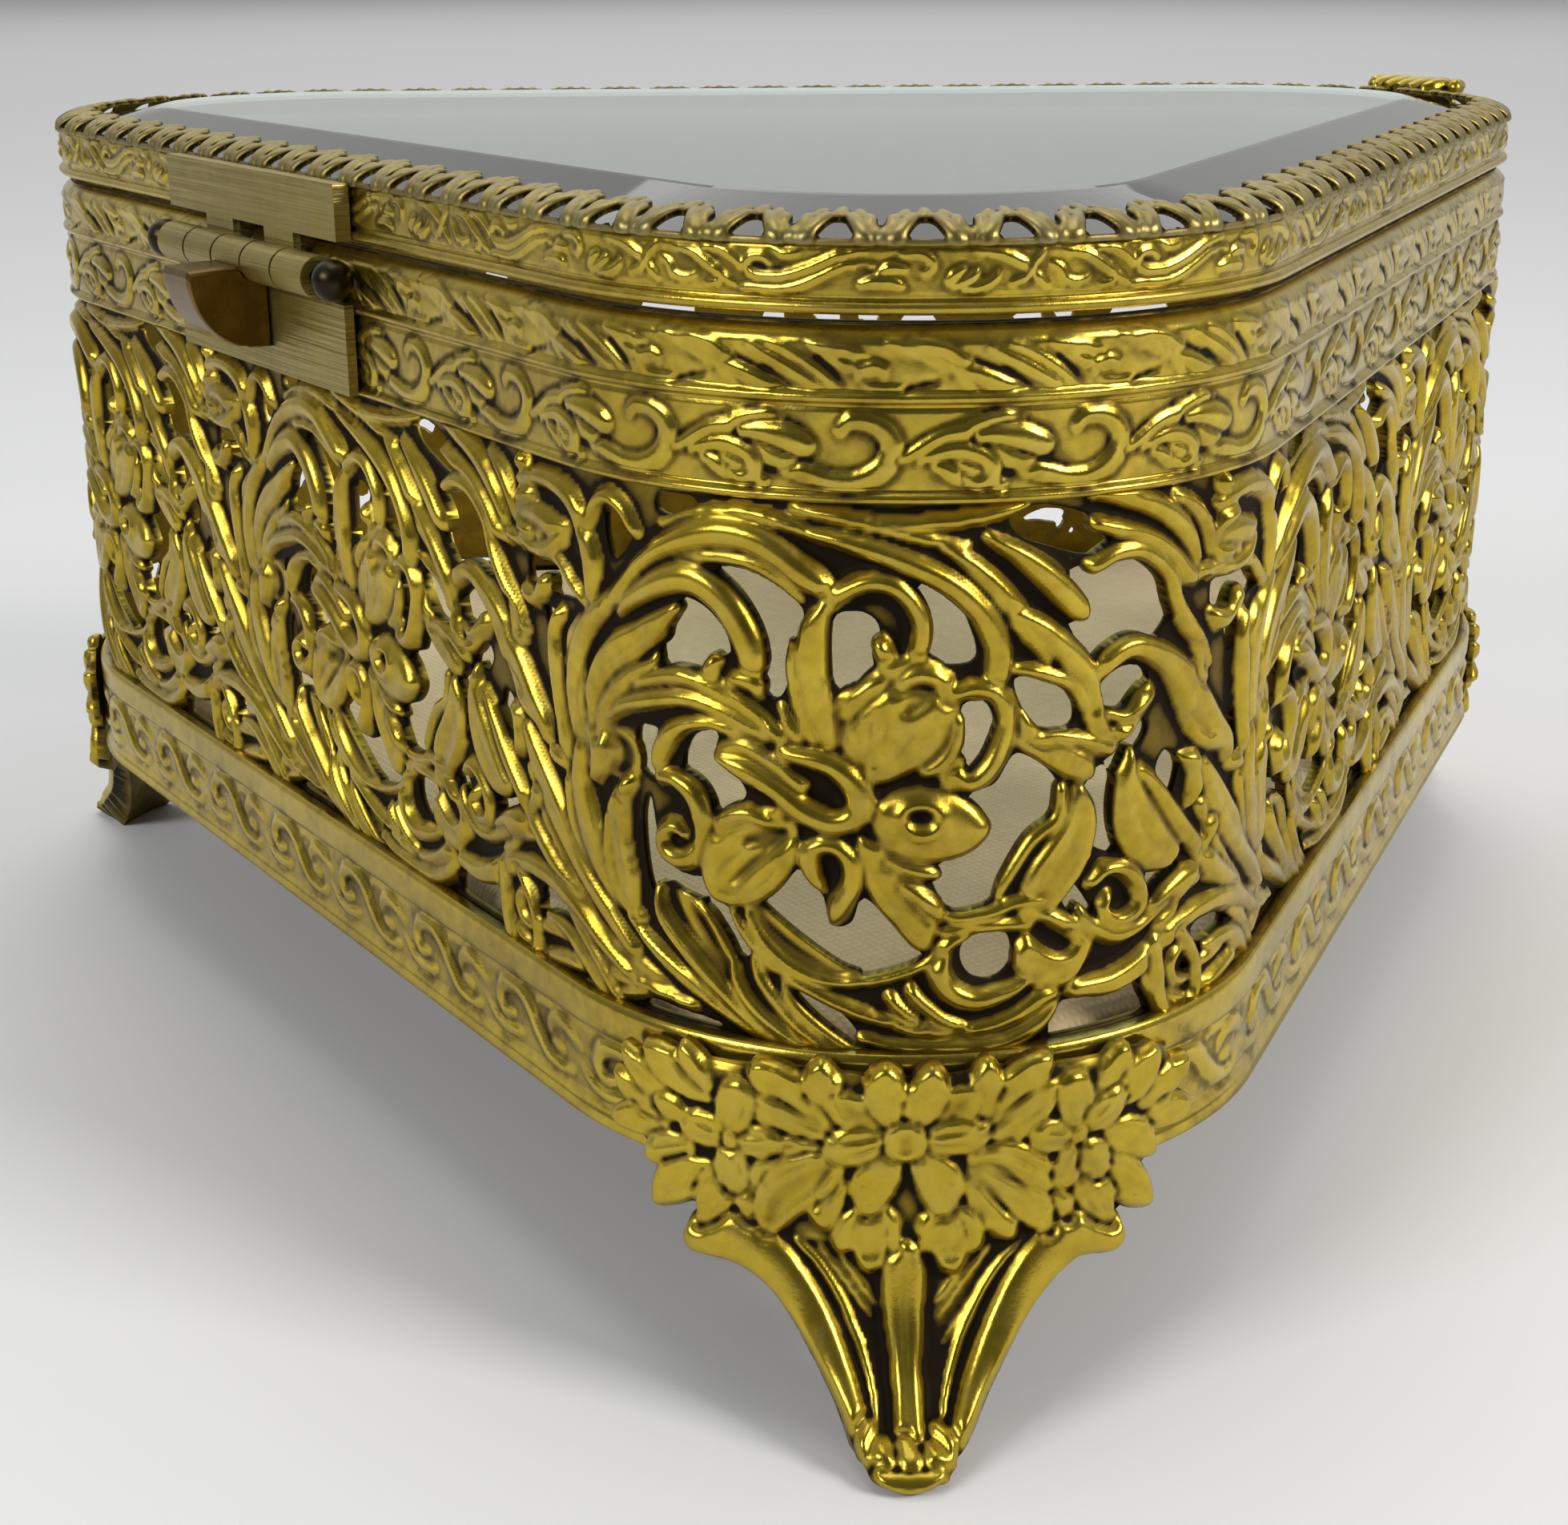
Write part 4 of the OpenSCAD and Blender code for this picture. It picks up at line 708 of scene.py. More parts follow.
def draw_upper(f):
    low = dict(base=0.0, gain=0.38, moat=0.26, metal=False, trench=0.14)
    # lower strip: running scroll, curled end, split leaf and cloud leaf
    strokes(f, (
        ("r", 0.6, [(17.8, -6.9, 0.3), (16.4, -6.1, 0.9), (14.8, -6.0, 1.1), (13.2, -6.2, 1.0), (12.0, -6.9, 1.1), (10.6, -7.6, 1.2),
                    (9.0, -8.1, 1.2), (7.4, -8.5, 1.2), (5.9, -8.4, 1.35), (4.6, -7.7, 1.45), (4.0, -6.5, 1.45), (4.4, -5.4, 1.3),
                    (5.4, -4.85, 1.1), (6.5, -4.8, 1.0), (7.1, -5.4, 0.8)]),
        ("g", 0.9, [(15.6, -6.0, 0.3), (14.2, -5.2, 1.1), (12.6, -4.9, 1.3), (11.2, -4.8, 0.9), (10.6, -4.7, 0.3)]),
        ("g", 0.8, [(15.2, -6.6, 0.4), (13.9, -7.2, 1.5), (12.9, -7.9, 1.7), (12.1, -8.6, 1.1), (11.8, -9.0, 0.3)]),
        ("r", 0.6, [(16.6, -6.8, 0.3), (15.4, -7.6, 0.9), (14.2, -8.4, 0.8), (13.4, -8.9, 0.3)]),
        ("r", 0.7, [(3.6, -7.2, 0.3), (2.2, -6.4, 0.9), (0.8, -5.7, 1.1), (-0.6, -5.4, 1.1), (-1.8, -5.0, 1.3), (-2.8, -4.8, 1.2), (-3.3, -4.7, 0.5)]),
        ("r", 0.9, [(-1.2, -5.7, 0.7), (-2.6, -5.9, 1.9), (-3.9, -6.1, 2.2), (-5.0, -6.3, 1.6), (-5.6, -6.4, 0.6)]),
        ("g", 0.8, [(-1.8, -6.4, 0.5), (-2.8, -7.0, 1.2), (-3.9, -7.3, 1.0), (-4.6, -7.2, 0.4)]),
        ("r", 0.75, [(2.4, -7.2, 0.3), (1.2, -6.7, 0.8), (0.0, -6.5, 1.0), (-1.2, -6.8, 1.1), (-2.0, -7.5, 1.1), (-1.9, -8.3, 1.0), (-1.1, -8.6, 0.8), (-0.5, -8.2, 0.6)]),
    ), **low)
    # upper strip: shallow slanting leaves, small curl, graver's lines
    top = dict(base=0.0, gain=0.26, moat=0.20, metal=False, trench=0.12)
    strokes(f, (
        ("r", 0.8, [(4.4, 0.0, 0.4), (2.6, -0.6, 0.8), (0.8, -1.5, 0.8), (-0.6, -2.7, 0.4), (-1.0, -3.1, 0.2)]),
        ("r", 0.8, [(2.8, 0.1, 0.3), (1.0, -0.5, 0.7), (-0.6, -1.5, 0.7), (-1.7, -2.7, 0.3)]),
        ("g", 0.8, [(9.0, -0.2, 0.4), (7.4, -0.8, 1.3), (5.8, -1.4, 1.5), (4.6, -1.6, 0.8)]),
        ("r", 1.0, [(6.0, -2.3, 0.3), (6.0, -1.7, 0.5), (5.3, -1.4, 0.6), (4.7, -1.6, 0.5), (4.5, -2.1, 0.3)]),
        ("r", 0.8, [(5.8, -2.6, 0.2), (5.0, -2.8, 0.5), (4.0, -2.9, 0.5), (3.2, -2.7, 0.2)]),
        ("r", 0.8, [(12.8, -0.5, 0.3), (11.2, -1.2, 0.8), (9.8, -2.0, 0.8), (8.4, -2.9, 0.3)]),
        ("r", 0.8, [(11.6, -0.2, 0.3), (9.8, -1.0, 0.6), (8.5, -1.8, 0.5), (7.4, -2.8, 0.2)]),
        ("g", 0.8, [(14.6, -1.6, 0.3), (13.2, -2.1, 1.0), (12.0, -2.6, 1.0), (11.2, -3.0, 0.3)]),
    ), **top)
    strokes(f, (
        ("pit", -0.26, [(3.6, -0.2, 0.2), (1.6, -1.1, 0.25), (0.0, -2.3, 0.2)]),
        ("pit", -0.26, [(8.6, -1.0, 0.2), (7.6, -1.9, 0.3), (6.8, -2.7, 0.2)]),
        ("pit", -0.26, [(12.0, -1.6, 0.2), (10.9, -2.3, 0.3), (10.1, -2.9, 0.2)]),
        ("pit", -0.26, [(7.2, -0.9, 0.2), (6.0, -1.2, 0.25), (5.2, -1.2, 0.2)]),
        ("pit", -0.26, [(13.8, -1.1, 0.2), (12.4, -1.7, 0.3), (11.4, -2.2, 0.2)]),
        ("pit", -0.26, [(1.2, -2.4, 0.2), (2.6, -2.7, 0.3), (3.4, -3.0, 0.2)]),
    ), metal=False)


def upper_profile(z):
    bead = 0.40 * np.sqrt(np.clip(1 - ((z + 3.42) / 0.34) ** 2, 0, 1))
    under = -0.14 * np.exp(-((z + 3.95) / 0.14) ** 2)
    low = 0.38 * np.sqrt(np.clip(1 - ((z + 9.48) / 0.34) ** 2, 0, 1)) - 0.10 * np.exp(-((z + 9.0) / 0.12) ** 2)
    top = 0.12 * np.exp(-((z + 0.25) / 0.4) ** 2) - 0.95 * np.clip((z + 0.1) / 1.0, 0, 1) ** 2.0
    belly = 0.10 * np.clip(1 - ((z + 1.7) / 1.6) ** 2, 0, 1)
    return bead + low + top + under + belly


ring_band("upper_band_relief", -9.84, 0.9, 0.17, draw_upper, 0.02, -0.7, "base",
          ("upper_band",), n=30, profile=upper_profile)


def draw_lower(f):
    q = dict(base=0.0, gain=0.46, moat=0.24, metal=False, trench=0.14)
    strokes(f, (
        ("r", 0.9, [(1.2, -53.0, 0.3), (2.6, -53.4, 0.9), (4.6, -53.1, 1.2), (6.2, -51.8, 1.3), (7.6, -50.2, 1.3), (9.4, -49.5, 1.2),
                    (11.2, -49.9, 1.2), (11.9, -51.2, 1.1), (11.0, -52.2, 0.9), (9.9, -51.8, 0.6)]),
        ("r", 0.8, [(8.6, -52.9, 0.3), (9.6, -53.3, 0.9), (11.4, -53.4, 1.0), (13.2, -52.8, 0.6), (14.2, -52.0, 0.2)]),
        ("g", 0.8, [(0.2, -51.0, 0.3), (1.6, -50.2, 0.9), (3.2, -49.8, 1.1), (4.4, -50.4, 0.9), (4.6, -51.3, 0.3)]),
        ("r", 0.6, [(3.0, -49.1, 0.2), (5.0, -49.2, 0.5), (6.4, -49.5, 0.3)]),
        ("r", 0.7, [(4.2, -52.0, 0.3), (3.4, -51.9, 0.8), (2.6, -52.2, 0.4)]),
    ), **q)


def lower_profile(z):
    g = 0.0 * z
    for c in (-54.05, -54.7, -55.3):
        g = g - 0.18 * np.exp(-((z - c) / 0.13) ** 2)
    low = 0.58 * np.clip((-53.9 - z) / 1.7, 0, 1)
    rail = 0.24 * np.clip((z + 48.9) / 0.4, 0, 1)
    rail = rail - 0.14 * np.exp(-((z + 48.95) / 0.13) ** 2)
    lip = -0.25 * np.clip((z + 46.5) / 0.4, 0, 1)
    foot = -0.35 * np.clip((-55.45 - z) / 0.35, 0, 1) ** 2
    return g + low + rail + lip + foot


ring_band("lower_band_relief", -55.8, -46.02, 0.24, draw_lower, 0.85, 0.05, "base",
          ("lower_band",), n=32, profile=lower_profile)


def draw_lid(f):
    q = dict(base=0.0, gain=0.34, moat=0.20, metal=False, trench=0.14)
    strokes(f, (
        ("r", 0.9, [(11.4, 4.1, 0.2), (11.7, 4.6, 0.4), (12.5, 4.7, 0.5), (13.0, 4.2, 0.55), (12.6, 3.7, 0.6), (11.6, 3.5, 0.65),
                    (10.2, 3.7, 0.65), (8.8, 4.2, 0.6), (7.4, 4.8, 0.5), (5.8, 5.1, 0.3)]),
        ("r", 0.8, [(13.8, 2.9, 0.2), (12.0, 2.8, 0.5), (10.2, 2.9, 0.6), (8.6, 3.5, 0.6), (7.4, 4.1, 0.5), (6.2, 4.4, 0.3), (5.0, 4.3, 0.2)]),
        ("r", 0.9, [(9.6, 5.0, 0.2), (10.6, 4.8, 0.5), (11.0, 5.1, 0.3)]),
        ("r", 1.0, [(6.0, 3.2, 0.4), (5.2, 3.4, 0.8), (4.2, 3.4, 0.8), (3.5, 3.1, 0.4)]),
        ("r", 1.0, [(4.9, 3.9, 0.3), (4.2, 4.2, 0.7), (3.4, 4.1, 0.4)]),
        ("r", 0.8, [(3.8, 4.8, 0.2), (2.6, 5.0, 0.5), (1.8, 4.6, 0.5), (1.9, 4.0, 0.4), (2.5, 3.9, 0.2)]),
        ("r", 1.0, [(0.9, 3.2, 0.3), (0.5, 3.8, 0.6), (-0.1, 4.2, 0.3)]),
        ("r", 1.0, [(0.5, 3.1, 0.3), (-0.4, 3.5, 0.7), (-0.9, 4.1, 0.3)]),
        ("r", 1.0, [(0.0, 2.9, 0.3), (-1.1, 3.1, 0.7), (-2.0, 3.6, 0.4), (-1.9, 4.1, 0.2)]),
        ("g", 0.8, [(-0.6, 5.2, 0.2), (-2.4, 4.9, 0.6), (-3.8, 4.2, 0.7), (-4.8, 3.3, 0.4), (-5.2, 2.8, 0.2)]),
        ("r", 0.8, [(-2.8, 3.2, 0.2), (-3.8, 3.6, 0.5), (-4.4, 4.5, 0.4), (-5.0, 5.1, 0.2)]),
        ("r", 0.8, [(-5.2, 4.4, 0.2), (-6.0, 4.0, 0.5), (-6.2, 3.4, 0.5), (-7.2, 3.2, 0.4), (-8.0, 3.5, 0.2)]),
        ("r", 0.9, [(-6.2, 5.0, 0.2), (-7.6, 4.8, 0.6), (-8.6, 4.2, 0.7), (-9.8, 3.4, 0.5), (-10.6, 2.9, 0.2)]),
        ("g", 0.9, [(-8.2, 5.1, 0.2), (-9.6, 5.0, 0.6), (-10.6, 4.4, 0.5), (-11.0, 3.8, 0.2)]),
        ("r", 1.0, [(-8.6, 3.0, 0.2), (-9.2, 3.0, 0.5), (-9.6, 3.3, 0.2)]),
    ), **q)


ring_band("lid_band_relief", 2.1, 5.62, 0.15, draw_lid, -0.06, -0.7, "lid", ("lid_band",), n=18,
          profile=lambda z: -0.14 * np.clip((z - 5.2) / 0.4, 0, 1) - 0.15 * np.exp(-((z - 2.42) / 0.14) ** 2))


def sweep_ring(name, profile, body, mat, nodes, step=1.2, gap=None, smooth=True):
    """A closed profile of (off, z) points swept round the plan. gap: (u0, u1) left out."""
    prof = np.array(profile, float)
    n = int(round(PERIM / step))
    U = np.arange(n) * PERIM / n
    if gap:
        U = np.linspace(gap[1], gap[0] + PERIM, n)
    k = len(prof)
    uu = np.repeat(U, k)
    co = wall_points(uu, np.tile(prof[:, 1], len(U)), np.tile(prof[:, 0], len(U)))
    m = len(U)
    i = np.arange(m if not gap else m - 1)[:, None]
    j = np.arange(k)[None, :]
    a = i * k + j
    b = i * k + (j + 1) % k
    c = ((i + 1) % m) * k + (j + 1) % k
    d = ((i + 1) % m) * k + j
    q = np.stack([a, b, c, d], -1).reshape(-1, 4)
    faces = [q]
    if gap:
        caps = [np.arange(k)[::-1], np.arange(k) + (m - 1) * k]
        for cp in caps:
            fan = np.stack([np.full(k - 2, cp[0]), cp[1:-1], cp[2:]], 1)
            faces.append(fan)
    return new_object(name, co, faces, body, mat, replaces=nodes, smooth=smooth)


def arc(cx, cz, rx, rz, a0, a1, n):
    return [(cx + rx * math.cos(math.radians(t)), cz + rz * math.sin(math.radians(t))) for t in np.linspace(a0, a1, n)]


# plain rolled edge at the lid's foot
sweep_ring("lid_rolled_edge", arc(-0.28, 1.86, 0.56, 0.44, -90, 90, 11) + [(-0.72, 2.28), (-0.72, 1.46)], "lid", M_PLAIN,
           ("lid_edge_roll",))
# rim bead inside the upper band
sweep_ring("rim_lip", arc(-1.25, 0.45, 0.55, 0.55, 0, 180, 9) + [(-1.9, -1.2), (-0.75, -1.2)], "base", M_INNER,
           ("rim_bead",))
# angle that carries the glass
sweep_ring("glass_ledge", [(-0.78, 2.1), (-0.78, 4.03), (-4.9, 4.03), (-4.9, 3.6), (-1.35, 3.55), (-1.35, 2.1)], "lid", M_INNER,
           ("glass_seat",), smooth=False)


def plate(name, rings, body, mat, nodes, step=1.6, smooth=True):
    """A solid made of rounded-triangle rings [(off, z), ...] from bottom to top, closed with flat caps."""
    n = int(round(PERIM / step))
    U = np.arange(n) * PERIM / n
    co = np.concatenate([wall_points(U, np.full(n, z), np.full(n, o)) for o, z in rings])
    c0 = np.array([[CX, CY, rings[0][1] + ZR]]) * MM
    c1 = np.array([[CX, CY, rings[-1][1] + ZR]]) * MM
    co = np.concatenate([co, c0, c1])
    i = np.arange(n)
    j = (i + 1) % n
    q = []
    for r in range(len(rings) - 1):
        a = r * n
        q.append(np.stack([a + j, a + i, a + n + i, a + n + j], 1))
    b0 = len(rings) * n
    last = (len(rings) - 1) * n
    t = [np.stack([i, j, np.full(n, b0)], 1), np.stack([last + j, last + i, np.full(n, b0 + 1)], 1)]
    return new_object(name, co, [np.concatenate(q), np.concatenate(t)], body, mat, replaces=nodes, smooth=smooth)


# bevelled pane: ground edge, wide polished bevel, flat middle
pane = plate("glass_pane", [(-1.6, 4.08), (-1.5, 4.2), (-1.5, 5.3), (-1.62, 5.42), (-9.4, 7.35), (-9.8, 7.42)], "lid", M_GLASS,
      ("lid_glass",), smooth=False)
pane.visible_shadow = False              # light reaches the lining through the clear pane


# ------------------------------------------------------------------ sheets on a bent profile
def profile_frame(path):
    """path: [(off, z), ...] along the strip; gives its length and a function (v, n) -> (off, z, tangent off, tangent z,
    n), from which a caller steps n mm along the normal.
    """
    p = smooth_curve(path, 8)
    seg = np.hypot(*np.diff(p, axis=0).T)
    cv = np.concatenate([[0], np.cumsum(seg)])
    t = np.gradient(p, cv, axis=0)
    t /= np.maximum(np.hypot(t[:, 0], t[:, 1]), 1e-9)[:, None]

    def at(v, n):
        o = np.interp(v, cv, p[:, 0])
        z = np.interp(v, cv, p[:, 1])
        to = np.interp(v, cv, t[:, 0])
        tz = np.interp(v, cv, t[:, 1])
        return o, z, to, tz, n
    return cv[-1], at


def gallery():
    """A crown of lobed leaves, each with a three-cornered opening, bent in over the bevel of the pane."""
    n = 81
    pitch = PERIM / n
    length, at = profile_frame([(-0.06, 5.45), (-0.12, 5.95), (-0.85, 6.50), (-2.1, 6.85), (-3.7, 7.02)])
    f = Field(0.0, pitch, 0.0, length, pitch / 36, True, floor=-0.15)
    c = 0.4 * pitch
    L = length
    q = dict(base=0.0, gain=0.42, moat=0.16, trench=0.12)
    f.stroke([(c - pitch / 2, 0.2, 0.9), (c, 0.2, 0.75), (c + pitch / 2, 0.2, 0.9)], 0.3, "r", **q)
    for s in (-1, 1):
        f.stroke([(c + s * 2.5, 0.4, 0.9), (c + s * 2.15, 1.1, 0.95), (c + s * 2.15, 1.8, 0.5)], 0.7, "r", **q)
        f.stroke([(c + s * 1.9, 1.3, 0.8), (c + s * 1.9, 2.1, 1.05), (c + s * 1.75, 2.7, 0.6)], 0.8, "r", **q)
        f.stroke([(c + s * 1.2, 2.2, 0.8), (c + s * 1.25, 3.0, 1.0), (c + s * 1.05, 3.6, 0.6)], 0.85, "r", **q)
        f.stroke([(c + s * 1.85, 0.2, 1.0), (c + s * 1.45, 1.0, 1.0), (c + s * 0.95, 2.0, 0.9), (c + s * 0.4, 3.0, 0.7)], 1.0, "g", **q)
    f.stroke([(c, 2.4, 0.6), (c, 3.1, 1.0), (c, L - 0.6, 0.95), (c, L - 0.15, 0.4)], 1.0, "g", **q)
    hole = Field(0.0, pitch, 0.0, length, pitch / 36, True)
    hole.hole([(c - 1.15, 0.42), (c - 0.5, 0.38), (c + 0.5, 0.38), (c + 1.15, 0.42), (c + 0.7, 1.2), (c + 0.2, 2.15), (c - 0.2, 2.15), (c - 0.7, 1.2)])
    f.S = np.minimum(f.S, -hole.holes)
    f.soften(1)
    # groove darkness plus painted shade along the edges of the openings, made stronger below
    patina_and_shade = f.cavity(pitch / 36) + 0.25 * np.exp(-(np.maximum(f.S, 0) / 0.16) ** 2)
    U, Hn, sn, cn = tiled(f, n, f.H, f.S, patina_and_shade)

    def place(u, v, off):
        o, z, to, tz, m = at(v, off)
        # outward and upward side of the leaning strip
        return wall_points(u, z + m * (-to), o + m * tz)

    co, faces, flat, used = relief_sheet(U, f.Z, Hn * 0.8 + 0.10, np.full(Hn.shape, -0.20), sn, True, place)
    c2 = np.concatenate([cn.reshape(-1) * 1.2, np.full(Hn.size, 0.3)])[used]
    new_object("gallery_teeth", co, faces, "lid", M_CROWN, attrs={"patina_and_shade": c2}, flat=flat,
               replaces=("lid_gallery",))


gallery()

# ------------------------------------------------------------------ cast feet
# profile down the middle of a foot: distance from the corner's arc centre, height
FOOT = [(29.5, -46.2), (29.6, -49.0), (29.6, -52.0), (29.8, -57.0), (30.4, -60.5), (31.4, -63.8), (33.2, -66.9), (35.6, -69.2),
        (37.7, -70.5), (38.6, -71.0), (38.9, -71.9)]
